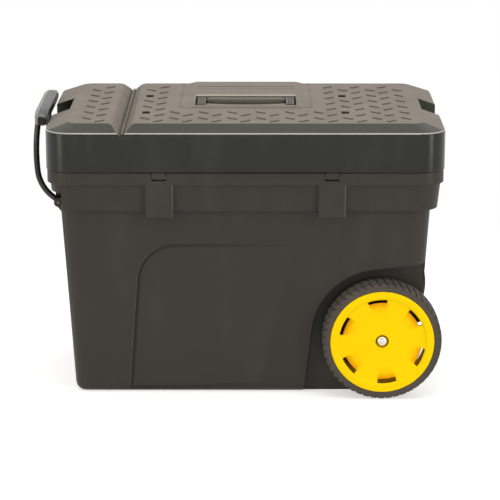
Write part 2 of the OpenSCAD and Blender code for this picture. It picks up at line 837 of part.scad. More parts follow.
module axle() {
    dome = axle_dome;
    color([0.74, 0.74, 0.73]) translate([axle_x, 0, axle_z]) rotate([90, 0, 0])
        rotate_extrude($fn = 64) {
            translate([0, -axle_half_length + dome]) square([axle_r, 2*(axle_half_length - dome)]);
            polygon([[0, axle_half_length - dome], [axle_r, axle_half_length - dome],
                [axle_r*0.72, axle_half_length - 0.9], [axle_r*0.3, axle_half_length],
                [0, axle_half_length]]);
            polygon([[0, dome - axle_half_length], [0, -axle_half_length],
                [axle_r*0.3, -axle_half_length], [axle_r*0.72, 0.9 - axle_half_length],
                [axle_r, dome - axle_half_length]]);
        }
}

module axle_rings(y, outer_r, thickness) {
    for (side = [-1, 1])
        translate([axle_x, side*y, axle_z]) rotate([90, 0, 0]) difference() {
            cylinder(r = outer_r, h = thickness, center = true);
            cylinder(r = axle_r + snug, h = thickness + 1, center = true);
        }
}

module axle_washers() {
    color([0.62, 0.62, 0.60])
        axle_rings(well_y + side_play + washer_thickness/2, hub_boss_r - 2, washer_thickness);
}

module axle_retainers() {
    color([0.62, 0.62, 0.60])
        axle_rings(boss_outer_y + side_play + retainer_thickness/2, retainer_recess_r - 0.6,
            retainer_thickness);
}

// A hub, drawn with its outer face up, at its place along the axle
module hub() {
    inner = wheel_inner_y;
    outer = wheel_face_y;
    face = outer - 3;                       // the dished face inside the outer ring
    skin = 3.5;
    slot_r = rim_seat_r - 10.4;
    color([0.996, 0.847, 0.04]) difference() {
        rotate_extrude($fn = 96) polygon([
            [axle_r + running, well_y + hub_boss_gap],
            [hub_boss_r, well_y + hub_boss_gap],
            [hub_boss_r, face - skin - 2],
            [50, face - skin - 2],
            [rim_seat_r - 8, face - skin],
            [rim_seat_r - 4, face - skin - 2],
            [rim_seat_r - 4, inner + 1],
            [hub_r - 1, inner + 1],
            [hub_r - 1, inner + 4],
            [rim_seat_r, inner + 5],
            [rim_seat_r, outer - 4],
            [hub_r, outer - 3],
            [hub_r, outer - 0.6],
            [hub_r - 1, outer + 0.4],
            [rim_seat_r - 4, outer],
            [rim_seat_r - 8, face],
            [50, face - 2],
            [retainer_recess_r + 3, face - 2.5],
            [retainer_recess_r + 0.8, face - 1.5],
            [retainer_recess_r, face - 2.5],
            [retainer_recess_r, boss_outer_y],
            [axle_r + running, boss_outer_y]
        ]);
        for (k = [0:hub_slots - 1])
            rotate([0, 0, hub_slot_start + 360/hub_slots*k - hub_slot_angle/2])
                rotate_extrude(angle = hub_slot_angle, $fn = 96)
                    translate([slot_r - hub_slot_width/2, face - 12]) square([hub_slot_width, 24]);
    }
}

// A tyre at its place along the axle
module tyre() {
    inner = wheel_inner_y;
    outer = wheel_face_y;
    shoulder = tyre_shoulder;
    color([0.20, 0.19, 0.17])
        rotate_extrude($fn = 96) polygon([
            [rim_seat_r, inner + 5],
            [hub_r - 1, inner + 4],
            [hub_r - 1, inner],
            [tyre_r - shoulder, inner],
            [tyre_r - 1, inner + shoulder],
            [tyre_r, inner + 2*shoulder],
            [tyre_r, outer - 2*shoulder],
            [tyre_r - 1, outer - shoulder],
            [tyre_r - shoulder, outer],
            [hub_r, outer],
            [hub_r, outer - 3],
            [rim_seat_r, outer - 4]
        ]);
}

module on_axle(side) {
    translate([axle_x, 0, axle_z]) rotate([side < 0 ? 90 : -90, 0, 0]) children();
}

module hinge_side_hub() { on_axle(-1) hub(); }

module hinge_side_tyre() { on_axle(-1) tyre(); }

module latch_side_hub() { on_axle(1) hub(); }

module latch_side_tyre() { on_axle(1) tyre(); }

// ---- tote tray ----

module tote_tray() {
    bin_floor = ledge_z - tray_depth;
    inner_half_x = tray_bin_half_x - tray_wall;
    inner_half_y = tray_bin_half_y - tray_wall;
    color([0.25, 0.25, 0.25]) translate([tray_x, 0, 0]) difference() {
        union() {
            difference() {
                union() {
                    translate([0, 0, ledge_z]) linear_extrude(tray_rim_thickness)
                        round_plate(tray_length/2, tray_rim_half_y, tray_rim_corner);
                    translate([0, 0, bin_floor]) linear_extrude(tray_depth)
                        round_plate(tray_bin_half_x, tray_bin_half_y, tray_corner);
                }
                translate([0, 0, bin_floor + tray_wall]) linear_extrude(tray_depth + 10)
                    round_plate(inner_half_x, inner_half_y, tray_corner - tray_wall);
            }
            for (s = [-1, 1])
                translate([-inner_half_x - 1, s*tray_divider_y - tray_wall/2, bin_floor + 1])
                    cube([2*inner_half_x + 2, tray_wall, tray_depth - 6]);
            translate([-tray_web/2, -tray_divider_y - 1, bin_floor + 1])
                cube([tray_web, 2*tray_divider_y + 2, tray_depth - 1]);
        }
        // sockets for the handle's feet
        for (s = [-1, 1])
            translate([0, s*tote_post_y, ledge_z])
                cube([tote_post[0] + 2*tote_post_fit, tote_post[1] + 2*tote_post_fit, 2*tote_socket],
                    center = true);
    }
}

module tote_handle() {
    post_base = ledge_z - tote_socket;
    color([0.13, 0.13, 0.13]) translate([tray_x, 0, 0]) {
        for (s = [-1, 1])
            translate([-tote_post[0]/2, s*tote_post_y - tote_post[1]/2, post_base + 0.5])
                cube([tote_post[0], tote_post[1], tote_handle_top - tote_bar_r - 1 - post_base]);
        translate([0, 0, tote_handle_top - tote_bar_r])
            along_y(2*tote_post_y + tote_post[1]) circle(tote_bar_r);
    }
}

tub();
lid();
hinge_pins();
carry_handle();
carry_handle_pins();
pull_handle_rod();
pull_grip_outer();
pull_grip_inner();
pull_grip_screws();
pull_handle_pins();
left_latch();
right_latch();
latch_pins();
axle();
axle_washers();
axle_retainers();
hinge_side_hub();
hinge_side_tyre();
latch_side_hub();
latch_side_tyre();
tote_tray();
tote_handle();
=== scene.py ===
import math

import bmesh
import bpy
from mathutils import Matrix, Vector


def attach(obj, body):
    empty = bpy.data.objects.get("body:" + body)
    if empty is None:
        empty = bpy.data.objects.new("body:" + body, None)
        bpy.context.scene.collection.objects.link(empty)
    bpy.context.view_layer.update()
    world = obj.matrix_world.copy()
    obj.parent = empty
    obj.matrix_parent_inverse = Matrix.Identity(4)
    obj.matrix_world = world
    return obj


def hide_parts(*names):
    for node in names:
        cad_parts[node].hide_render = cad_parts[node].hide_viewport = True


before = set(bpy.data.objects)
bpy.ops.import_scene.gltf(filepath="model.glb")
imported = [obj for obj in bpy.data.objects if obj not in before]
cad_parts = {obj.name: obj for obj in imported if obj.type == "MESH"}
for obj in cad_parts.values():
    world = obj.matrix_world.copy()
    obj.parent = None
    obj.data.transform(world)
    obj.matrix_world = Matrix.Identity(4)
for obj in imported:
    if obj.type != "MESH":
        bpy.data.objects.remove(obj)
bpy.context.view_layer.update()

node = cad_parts

# ---- Tub ----
# The deep tub is one injection moulding in charcoal polypropylene. Its edges are
# rounded where the mould was broken, and its walls keep a fine grain with a few
# rubbed streaks. Painted shade darkens the edges of its pressed-in fields, and painted
# highlights light the fields' left ends and two corners of the hinge straps.

TUB_CHARCOAL = (50, 46, 41)
# painted shade along the edges of the pressed-in fields
PANEL_EDGE_SHADE = (27, 24, 20)
PANEL_EDGE_HIGHLIGHT = (66, 61, 54)   # a painted highlight along the left ends of the fields' edges
# a painted highlight on the hinge straps' right upright corners
STRAP_EDGE_HIGHLIGHT = (94, 88, 80)
TUB_EDGE = 0.0009
PANEL_EDGE = 0.0018              # softer, round the pressed-in fields of the long walls
PANEL_SHADE_BAND = (0.0034, 0.0022)    # the painted shade along the edge of such a field, and how it fades
PANEL_REACH = (0.088, 0.262)     # where the field runs out flush, and how far back its deep end is
PANEL_AREA = 0.03                # square metres: only the two fields are so large, have so few
PANEL_CORNERS = 30               # corners, and lean by so little along the chest
PANEL_LEAN = (0.005, 0.03)
PANEL_WALL_Y = 0.15              # the edges round the fields lie beyond this, at these heights,
PANEL_Z = (0.011, 0.236)         # and no further along than the end
PANEL_END_X = 0.082
PANEL_HIGHLIGHT_X = -0.13           # further left than this, the fields' edges get a painted highlight
STRAP_EDGES = (-0.107, 0.147)    # the upright corners of the two hinge straps that get a painted highlight
STRAP_EDGE_HALF = 0.0009
STRAP_FRONT_Y = -0.17
STRAP_Z = (0.27, 0.33)


def tone(red, green, blue):
    """A colour as it looks on a card, turned into the light it gives back."""
    parts = []
    for value in (red, green, blue):
        value /= 255
        parts.append(value / 12.92 if value <= 0.04045 else ((value + 0.055) / 1.055) ** 2.4)
    return (*parts, 1)


def moulded_plastic(name, colour, rough, cloud=0.08, grain=0.0011, depth=0.00004, rub=0.0,
                    sheen=0.25):
    """Moulded polypropylene: a faint clouding, a mould grain, and upright rubbed streaks."""
    finish = bpy.data.materials.new(name)
    finish.use_nodes = True
    nodes, links = finish.node_tree.nodes, finish.node_tree.links
    shader = nodes["Principled BSDF"]
    shader.inputs["Specular IOR Level"].default_value = sheen
    place = nodes.new("ShaderNodeTexCoord")

    clouds = nodes.new("ShaderNodeTexNoise")
    clouds.inputs["Scale"].default_value = 11
    clouds.inputs["Detail"].default_value = 4
    links.new(place.outputs["Object"], clouds.inputs["Vector"])
    blend = nodes.new("ShaderNodeMix")
    blend.data_type = "RGBA"
    base = tone(*colour)
    blend.inputs["A"].default_value = (*[c * (1 - cloud) for c in base[:3]], 1)
    blend.inputs["B"].default_value = (*[min(1, c * (1 + cloud)) for c in base[:3]], 1)
    links.new(clouds.outputs["Fac"], blend.inputs["Factor"])

    stretch = nodes.new("ShaderNodeMapping")
    stretch.inputs["Scale"].default_value = (26, 26, 7)
    links.new(place.outputs["Object"], stretch.inputs["Vector"])
    streaks = nodes.new("ShaderNodeTexNoise")
    streaks.inputs["Scale"].default_value = 1
    streaks.inputs["Detail"].default_value = 5
    links.new(stretch.outputs["Vector"], streaks.inputs["Vector"])
    worn = nodes.new("ShaderNodeMapRange")
    worn.inputs["From Min"].default_value = 0.52
    worn.inputs["From Max"].default_value = 0.72
    worn.inputs["To Max"].default_value = rub
    links.new(streaks.outputs["Fac"], worn.inputs["Value"])
    rubbed = nodes.new("ShaderNodeMix")
    rubbed.data_type = "RGBA"
    rubbed.inputs["B"].default_value = (*[min(1, c * 1.5 + 0.015) for c in base[:3]], 1)
    links.new(worn.outputs["Result"], rubbed.inputs["Factor"])
    links.new(blend.outputs["Result"], rubbed.inputs["A"])
    links.new(rubbed.outputs["Result"], shader.inputs["Base Color"])

    gloss = nodes.new("ShaderNodeMapRange")
    gloss.inputs["From Min"].default_value = 0.3
    gloss.inputs["From Max"].default_value = 0.7
    gloss.inputs["To Min"].default_value = rough * 0.9
    gloss.inputs["To Max"].default_value = rough * 1.12
    links.new(streaks.outputs["Fac"], gloss.inputs["Value"])
    links.new(gloss.outputs["Result"], shader.inputs["Roughness"])

    pits = nodes.new("ShaderNodeTexNoise")
    pits.inputs["Scale"].default_value = 1 / grain
    pits.inputs["Detail"].default_value = 2
    links.new(place.outputs["Object"], pits.inputs["Vector"])
    bump = nodes.new("ShaderNodeBump")
    bump.inputs["Strength"].default_value = 0.8
    bump.inputs["Distance"].default_value = depth
    links.new(pits.outputs["Fac"], bump.inputs["Height"])
    links.new(bump.outputs["Normal"], shader.inputs["Normal"])
    return finish


def piece_from(form, name, body, *finishes):
    """Makes a bmesh into a piece that rides on a body, shaded evenly across its flats."""
    for face in form.faces:
        face.smooth = True
    mesh = bpy.data.meshes.new(name)
    form.to_mesh(mesh)
    form.free()
    for finish in finishes:
        mesh.materials.append(finish)
    piece = bpy.data.objects.new(name, mesh)
    bpy.context.scene.collection.objects.link(piece)
    even = piece.modifiers.new("even shading", "WEIGHTED_NORMAL")
    even.keep_sharp = True
    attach(piece, body)
    return piece


def moulding(name):
    """A welded copy of a node's mesh, with its flats joined up."""
    form = bmesh.new()
    form.from_mesh(node[name].data)
    bmesh.ops.remove_doubles(form, verts=form.verts, dist=0.00001)
    bmesh.ops.dissolve_limit(form, angle_limit=math.radians(0.6), verts=form.verts,
                             edges=form.edges)
    return form


def round_edges(form, radius, sharper_than=32, shortest=0, segments=2):
    """Rounds every edge that turns by more than a few degrees, as a mould does."""
    limit = math.radians(sharper_than)
    edges = [e for e in form.edges
             if e.is_manifold and e.calc_face_angle() > limit and e.calc_length() > shortest]
    return bmesh.ops.bevel(form, geom=edges, offset=radius, segments=segments, profile=0.5,
                           affect="EDGES", material=-1, clamp_overlap=False)["faces"]


def paint_shade_where(finish, attribute, colour):
    """Paints shade into a finish, as a deeper colour, where an attribute of the mesh says so."""
    nodes, links = finish.node_tree.nodes, finish.node_tree.links
    shader = nodes["Principled BSDF"]
    shade_amount = nodes.new("ShaderNodeAttribute")
    shade_amount.attribute_name = attribute
    deepened = nodes.new("ShaderNodeMix")
    deepened.data_type = "RGBA"
    deepened.inputs["B"].default_value = tone(*colour)
    even = shader.inputs["Base Color"].links[0].from_socket
    links.new(shade_amount.outputs["Fac"], deepened.inputs["Factor"])
    links.new(even, deepened.inputs["A"])
    links.new(deepened.outputs["Result"], shader.inputs["Base Color"])


tub_plastic = moulded_plastic("tub_plastic", TUB_CHARCOAL, 0.46, cloud=0.07, rub=0.22)
# painted shade along the fields' edges, fading out where each field runs out flush
paint_shade_where(tub_plastic, "panel_shade", PANEL_EDGE_SHADE)
tub_form = moulding("tub")
panel_shade = tub_form.verts.layers.float.new("panel_shade")
fields = [f for f in tub_form.faces
          if f.calc_area() > PANEL_AREA and len(f.verts) < PANEL_CORNERS
          and PANEL_LEAN[0] < abs(f.normal.x) < PANEL_LEAN[1]
          and f.normal.y * f.calc_center_median().y > 0]
for width in PANEL_SHADE_BAND:
    for vert in {v for f in fields for v in f.verts}:
        vert[panel_shade] = max(0, min(1, (PANEL_REACH[0] - vert.co.x) / PANEL_REACH[1]))
    bmesh.ops.inset_region(tub_form, faces=fields, thickness=width, use_even_offset=True)
    for vert in {v for f in fields for v in f.verts}:
        vert[panel_shade] = 0
outside = [e for e in tub_form.edges
           if e.is_manifold and e.is_convex and e.calc_face_angle() > 1
           and all(abs(v.co.y) > PANEL_WALL_Y and PANEL_Z[0] < v.co.z < PANEL_Z[1]
                   and v.co.x < PANEL_END_X for v in e.verts)]
rim = bmesh.ops.bevel(tub_form, geom=outside, offset=PANEL_EDGE, segments=3, profile=0.5,
                      affect="EDGES", material=-1, clamp_overlap=False)["faces"]
# the rounded edges at the fields' left ends get a painted highlight
for face in rim:
    if face.calc_center_median().x < PANEL_HIGHLIGHT_X:
        face.material_index = 1
# sharp edges are rounded; the hinge straps' right corners get a painted highlight
for face in round_edges(tub_form, TUB_EDGE, sharper_than=48, shortest=0.003):
    middle = face.calc_center_median()
    on_strap = middle.y < STRAP_FRONT_Y and STRAP_Z[0] < middle.z < STRAP_Z[1]
    if on_strap and min(abs(middle.x - x) for x in STRAP_EDGES) < STRAP_EDGE_HALF:
        face.material_index = 2
# painted highlight for the fields' left edges
tub_panel_highlight = moulded_plastic("tub_panel_highlight", PANEL_EDGE_HIGHLIGHT, 0.4, cloud=0.07, rub=0.22)
# painted highlight for the hinge straps' corners
tub_strap_highlight = moulded_plastic("tub_strap_highlight", STRAP_EDGE_HIGHLIGHT, 0.5, cloud=0.1)
tub = piece_from(tub_form, "tub_moulding", "tub", tub_plastic, tub_panel_highlight, tub_strap_highlight)
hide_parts("tub")

# ---- Pins and axle ----
# Drawn steel wire cut to length makes the hinge, handle and latch pins. The axle is a
# plated steel bar, and a domed push-on cap grips each of its ends.

PIN_STEEL = (176, 175, 170)
DULL_STEEL = (112, 109, 103)     # the handle's pins, in a darker, duller steel
AXLE_STEEL = (214, 212, 206)


def plated_steel(name, colour, rough):
    """Plated steel, brushed unevenly, with a dulled film in patches."""
    finish = bpy.data.materials.new(name)
    finish.use_nodes = True
    nodes, links = finish.node_tree.nodes, finish.node_tree.links
    shader = nodes["Principled BSDF"]
    shader.inputs["Metallic"].default_value = 1
    place = nodes.new("ShaderNodeTexCoord")
    film = nodes.new("ShaderNodeTexNoise")
    film.inputs["Scale"].default_value = 160
    film.inputs["Detail"].default_value = 4
    links.new(place.outputs["Object"], film.inputs["Vector"])
    blend = nodes.new("ShaderNodeMix")
    blend.data_type = "RGBA"
    base = tone(*colour)
    blend.inputs["A"].default_value = (*[c * 0.78 for c in base[:3]], 1)
    blend.inputs["B"].default_value = base
    links.new(film.outputs["Fac"], blend.inputs["Factor"])
    links.new(blend.outputs["Result"], shader.inputs["Base Color"])
    gloss = nodes.new("ShaderNodeMapRange")
    gloss.inputs["To Min"].default_value = rough * 0.7
    gloss.inputs["To Max"].default_value = rough * 1.4
    links.new(film.outputs["Fac"], gloss.inputs["Value"])
    links.new(gloss.outputs["Result"], shader.inputs["Roughness"])
    return finish


def wears(name, finish):
    """A node keeps its own shape and takes a finish."""
    for place in node[name].material_slots:
        place.material = finish


pin_steel = plated_steel("pin_steel", PIN_STEEL, 0.35)
axle_steel = plated_steel("axle_steel", AXLE_STEEL, 0.24)
for pins in ("hinge_pins", "latch_pins", "carry_handle_pins"):
    wears(pins, pin_steel)
wears("pull_handle_pins", plated_steel("dull_steel", DULL_STEEL, 0.55))
wears("axle_washers", pin_steel)
wears("axle", axle_steel)

AXLE_X = 0.204
AXLE_Z = 0.090
CAP_SECTION = [                 # radius, distance from the middle plane, in millimetres
    (0, 188.4), (2.6, 188.2), (5.0, 187.5), (6.8, 186.2), (7.6, 184.6), (7.8, 182.6), (8.1, 181.8),
    (9.1, 181.5), (9.1, 180.6), (6.5, 180.6), (6.5, 184.6), (5.8, 185.7), (4.2, 186.5), (0, 186.8),
]


def turned(outline, steps):
    """Spins an outline of (radius, place along the axle) right round the axle."""
    form = bmesh.new()
    corners = [form.verts.new((r / 1000, -y / 1000, 0)) for r, y in outline]
    rim = [form.edges.new((a, b)) for a, b in zip(corners, corners[1:])]
    if outline[0][0] > 0:
        rim.append(form.edges.new((corners[-1], corners[0])))
    bmesh.ops.spin(form, geom=corners + rim, cent=(0, 0, 0), axis=(0, 1, 0), angle=math.tau,
                   steps=steps, use_merge=True, use_duplicate=False)
    bmesh.ops.remove_doubles(form, verts=form.verts, dist=0.000001)
    bmesh.ops.recalc_face_normals(form, faces=form.faces)
    return form


cap_form = turned(CAP_SECTION, 48)
cap_mesh = bpy.data.meshes.new("cap")
cap_form.to_mesh(cap_mesh)
bmesh.ops.transform(cap_form, matrix=Matrix.Rotation(math.pi, 4, "X"), verts=cap_form.verts)
cap_form.from_mesh(cap_mesh)
bpy.data.meshes.remove(cap_mesh)
bmesh.ops.translate(cap_form, vec=(AXLE_X, 0, AXLE_Z), verts=cap_form.verts)
caps = piece_from(cap_form, "axle_caps", "tub", axle_steel)
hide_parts("axle_retainers")

# ---- Hubs ----
# Each hub is a dished disc of yellow polypropylene with a flat outer ring, six curved
# slots, each at the foot of a shallow scoop, and a boss round the axle. The scoops are
# painted an orange shade that deepens towards the slots, and the slots' walls a dark shade.

HUB_YELLOW = (255, 213, 0)
# painted shade, deepening into each scoop
SCOOP_SHADE_ORANGE = (240, 150, 0)
# painted shade on the slots' walls
SLOT_WALL_SHADE = (50, 18, 0)
HUB_STEPS = 180
HUB_EDGE = 0.0004
HUB_FACE = [                    # radius, distance from the middle plane, in millimetres
    (6.41, 141.0), (14.0, 141.0), (14.0, 181.0), (40.0, 181.3), (50.0, 181.5), (57.0, 181.8),
    (59.4, 182.0), (64.6, 182.8), (66.5, 183.2), (68.0, 181.0), (68.0, 145.0), (76.5, 145.0),
    (76.5, 148.0), (72.0, 149.0), (72.0, 186.0), (77.5, 187.0), (77.5, 189.3), (76.9, 190.1),
    (75.6, 190.4), (68.2, 190.0), (66.6, 189.4), (65.8, 187.8), (64.6, 187.2), (59.4, 186.4),
    (57.0, 186.2), (50.0, 185.6), (40.0, 185.2), (22.0, 184.6), (13.2, 184.4), (11.4, 185.3),
    (10.2, 185.2), (9.8, 184.4), (9.8, 180.0), (6.41, 180.0),
]
DISC_Y = -0.170                 # the slotted disc stands further out than this
HUB_SLOTS = 6
SLOT_RING = (59.4, 64.6)
SLOT_MIDDLE = 37.0              # degrees round the axle, up from the chest's wheel end
SLOT_STEP = 60                  # degrees from one slot to the next
SLOT_ARC = 25
SCOOP_RING = (45.0, 60.5)
SCOOP_ARC = (16, 6)             # degrees from its middle to its end, and the share that fades out
SCOOP_DEPTH = 3.4
SCOOP_Y = -0.1838               # only what stands further out than this is scooped


def round_angle(point):
    """Degrees round the axle, up from the chest's wheel end."""
    return math.degrees(math.atan2(point.z, point.x))


def slot_offset(angle):
    """Degrees from the middle of the nearest slot."""
    return abs((angle - SLOT_MIDDLE + SLOT_STEP / 2) % SLOT_STEP - SLOT_STEP / 2)


hub_form = turned(HUB_FACE, HUB_STEPS)
bmesh.ops.rotate(hub_form, verts=hub_form.verts, cent=(0, 0, 0),
                 matrix=Matrix.Rotation(math.radians(-SLOT_MIDDLE + 180 / HUB_STEPS), 3, "Y"))
slot_faces = []
for face in hub_form.faces:
    middle = face.calc_center_median()
    reach = math.hypot(middle.x, middle.z) * 1000
    in_ring = SLOT_RING[0] < reach < SLOT_RING[1] and middle.y < DISC_Y
    if in_ring and slot_offset(round_angle(middle)) < SLOT_ARC / 2:
        slot_faces.append(face)
bmesh.ops.delete(hub_form, geom=slot_faces, context="FACES")
for k in range(HUB_SLOTS):      # a wall round each slot, from the front rim to the back rim, painted in shade
    rims = [e for e in hub_form.edges if e.is_boundary
            and round((round_angle(e.verts[0].co) - SLOT_MIDDLE) / SLOT_STEP) % HUB_SLOTS == k]
    for wall in bmesh.ops.bridge_loops(hub_form, edges=rims)["faces"]:
        wall.material_index = 1
bmesh.ops.recalc_face_normals(hub_form, faces=hub_form.faces)
# the scoop's depth, which also sets how much painted shade it gets
scoop = hub_form.verts.layers.float.new("scoop")
for vert in hub_form.verts:
    reach = math.hypot(vert.co.x, vert.co.z) * 1000
    if vert.co.y > SCOOP_Y or not SCOOP_RING[0] < reach < SCOOP_RING[1]:
        continue
    along = min(1, max(0, (SCOOP_ARC[0] - slot_offset(round_angle(vert.co))) / SCOOP_ARC[1]))
    inward = (reach - SCOOP_RING[0]) / (SLOT_RING[0] - SCOOP_RING[0])
    depth = min(1, inward) ** 1.5 * along * along * (3 - 2 * along)
    vert.co.y += SCOOP_DEPTH / 1000 * depth
    vert[scoop] = depth
round_edges(hub_form, HUB_EDGE, sharper_than=50)


def onto_axle(form, name, body, finishes, stands_for, latch_side):
    """Puts a wheel part on its end of the axle, turned about for the latch side."""
    turn = Matrix.Rotation(math.pi if latch_side else 0, 4, "X")
    place = Matrix.Translation((AXLE_X, 0, AXLE_Z)) @ turn
    bmesh.ops.transform(form, matrix=place, verts=form.verts)
    part = piece_from(form, name, body, *finishes)
    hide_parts(stands_for)
    return part


hub_plastic = moulded_plastic("hub_plastic", HUB_YELLOW, 0.42, cloud=0.03, grain=0.0016,
                              depth=0.00002, sheen=0.07)
# the scoops are painted with an orange shade
paint_shade_where(hub_plastic, "scoop", SCOOP_SHADE_ORANGE)
# the slots' walls are painted in a dark shade
slot_wall_shade = moulded_plastic("slot_wall_shade", SLOT_WALL_SHADE, 0.6, cloud=0.1)
far_hub_form = hub_form.copy()
onto_axle(hub_form, "hinge_side_disc", "hinge_side_wheel", (hub_plastic, slot_wall_shade),
                  "hinge_side_hub", False)
onto_axle(far_hub_form, "latch_side_disc", "latch_side_wheel", (hub_plastic, slot_wall_shade),
                  "latch_side_hub", True)

# ---- Tyres ----
# Each tyre is a solid ring of dark grey rubber snapped over the hub. Two staggered rows
# of slanted lugs run round it, wrapped over the shoulders.

TYRE_RUBBER = (78, 72, 66)
TYRE_STEPS = 96
TYRE_SECTION = [
    (72.0, 149.2), (76.6, 148.2), (76.6, 144.2), (83.0, 144.2), (85.6, 145.6), (86.8, 148.5),
    (87.2, 154.0), (87.2, 180.0), (86.8, 184.6), (85.4, 187.4), (83.0, 188.6), (79.6, 189.0),
    (77.7, 188.8), (77.7, 187.1), (72.1, 185.8),
]
LUG_SECTION = [
    (83.2, 187.6), (83.8, 188.8), (85.6, 188.9), (87.4, 187.9), (88.6, 185.8), (89.0, 182.4),
    (89.0, 169.5), (86.4, 168.5), (86.4, 182.5), (84.6, 185.8),
]
LUGS = 48
LUG_ARC = 6.1                   # degrees
LUG_SLANT = 0.18                # degrees for each millimetre across the tread
LUG_MIDDLE = (85, 180)          # the radius and the distance out from which the slant is counted
LUG_EDGE = 0.0008
ROWS_MIDDLE_Y = -0.167          # the far row is the near one turned over about this line


def lug_shape():
    """One lug: its section swept a few degrees round the axle, slanted across the tread."""
    form = bmesh.new()
    half = math.radians(LUG_ARC / 2)
    corners = [form.verts.new((r / 1000, -y / 1000, 0)) for r, y in LUG_SECTION]
    side = form.faces.new(corners)
    bmesh.ops.rotate(form, verts=corners, cent=(0, 0, 0), matrix=Matrix.Rotation(-half, 3, "Y"))
    bmesh.ops.spin(form, geom=[side], cent=(0, 0, 0), axis=(0, 1, 0), angle=2 * half, steps=2,
                   use_merge=False, use_duplicate=False)
    bmesh.ops.recalc_face_normals(form, faces=form.faces)
    round_edges(form, LUG_EDGE, sharper_than=50, segments=1)
    for vert in form.verts:
        across = -vert.co.y * 1000 - LUG_MIDDLE[1]
        outward = math.hypot(vert.co.x, vert.co.z) * 1000 - LUG_MIDDLE[0]
        slant = math.radians(LUG_SLANT * (across - outward))
        vert.co = Matrix.Rotation(slant, 3, "Y") @ vert.co
    return form


def row_of_lugs(form, lug, start, far_row):
    """Copies the lug round the axle into the tyre's mesh, for the near or the far row."""
    mesh = bpy.data.meshes.new("lug")
    lug.to_mesh(mesh)
    for k in range(LUGS):
        before = len(form.verts)
        form.from_mesh(mesh)
        form.verts.ensure_lookup_table()
        fresh = form.verts[before:]
        turn = Matrix.Rotation(math.radians(start + 360 / LUGS * k), 4, "Y")
        if far_row:
            over = Matrix.Rotation(math.pi, 4, "X")
            turn = turn @ Matrix.Translation((0, 2 * ROWS_MIDDLE_Y, 0)) @ over
        bmesh.ops.transform(form, matrix=turn, verts=fresh)
    bpy.data.meshes.remove(mesh)


tyre_form = turned(TYRE_SECTION, TYRE_STEPS)
lug = lug_shape()
row_of_lugs(tyre_form, lug, 0, False)
row_of_lugs(tyre_form, lug, 180 / LUGS, True)
lug.free()
# matt, dusty in patches, with a coarse pebbled bump
tyre_rubber = moulded_plastic("tyre_rubber", TYRE_RUBBER, 0.78, cloud=0.22, grain=0.0022,
                              depth=0.00012, rub=0.35)
far_tyre_form = tyre_form.copy()
onto_axle(tyre_form, "hinge_side_tread", "hinge_side_wheel", (tyre_rubber,),
                  "hinge_side_tyre", False)
onto_axle(far_tyre_form, "latch_side_tread", "latch_side_wheel", (tyre_rubber,),
                  "latch_side_tyre", True)

# ---- Lid ----
# The lid is one moulding. Its top, end slopes and saw groove are matt and grained for
# footing, while its skirt and long bevels came off a polished part of the mould. The grained
# faces' light tone is painted light from above and the bevels' tone is painted half-light; a
# painted highlight runs along the shoulder, and painted shade lies in the strap slots and the
# groove.

# the grained faces' tone is painted light, as they are lit from above
LID_GRAINED_LIT = (119, 110, 100)
LID_POLISHED = (24, 24, 19)
# the long bevels' tone is painted half-light, as they face partly up
LID_BEVEL_LIT = (63, 63, 57)
# a painted highlight along the shoulder
LID_SHOULDER_HIGHLIGHT = (186, 186, 178)
LID_SHADED = (84, 78, 69)
# painted shade on the groove's right wall
LID_GROOVE_SHADED = (112, 103, 92)
POLISHED, SHOULDER_HIGHLIGHT, PLAIN, BEVEL_LIT, SHADED, GROOVE_SHADED = range(1, 7)    # the grained finish, in the top's painted light, is 0
LID_EDGE = 0.0009
SHOULDER_Z = 0.4045
SHOULDER_LINE = (0.40575, 0.0004)   # the painted highlight line above the shoulder: its height, half its width
RIM_Z = 0.3470                      # below this and beyond RIM_Y, the hinge knuckles and lugs
RIM_Y = 0.17
BEVEL_Y = 0.146                     # the long bevels lie beyond this
GROOVE_X = -0.1815
GROOVE_HALF = 0.0175
GROOVE_LIP = 0.0045
GROOVE_LIP_Z = 0.4085               # its lips lie above this
GROOVE_DARK = (-0.0050, 0.0046)     # the steep lower strip of its walls, painted in shade, from its middle
NOTCH_X = 0.268
NOTCH_HALF_Y = 0.0455
NOTCH_FLOOR_Z = 0.400
STRAP_SLOTS = [(x, y) for x in (-149.5, 149.5) for y in (-80, 56)]     # millimetres
STRAP_SLOT_HALF = (6, 9.6)
CREASES = (13, 48)                  # degrees: turns too slight to round, but kept crisp


def in_strap_slot(point):
    """Whether a point is on the wall of one of the four slots for a strap."""
    return any(abs(point.x * 1000 - x) < STRAP_SLOT_HALF[0]
               and abs(point.y * 1000 - y) < STRAP_SLOT_HALF[1] for x, y in STRAP_SLOTS)


def in_notch(face, side):
    """Whether a face is a wall or the floor of the notch at one end of the lid."""
    middle, out = face.calc_center_median(), face.normal
    return (side * middle.x > NOTCH_X and abs(middle.y) < NOTCH_HALF_Y
            and (abs(out.z) < 0.3 or middle.z < NOTCH_FLOOR_Z))


def on_groove_wall(face):
    """Whether a face is on one of the saw groove's sloping walls."""
    middle, out = face.calc_center_median(), face.normal
    return abs(middle.x - GROOVE_X) < GROOVE_HALF and abs(out.x) > 0.5 and out.z > 0.5


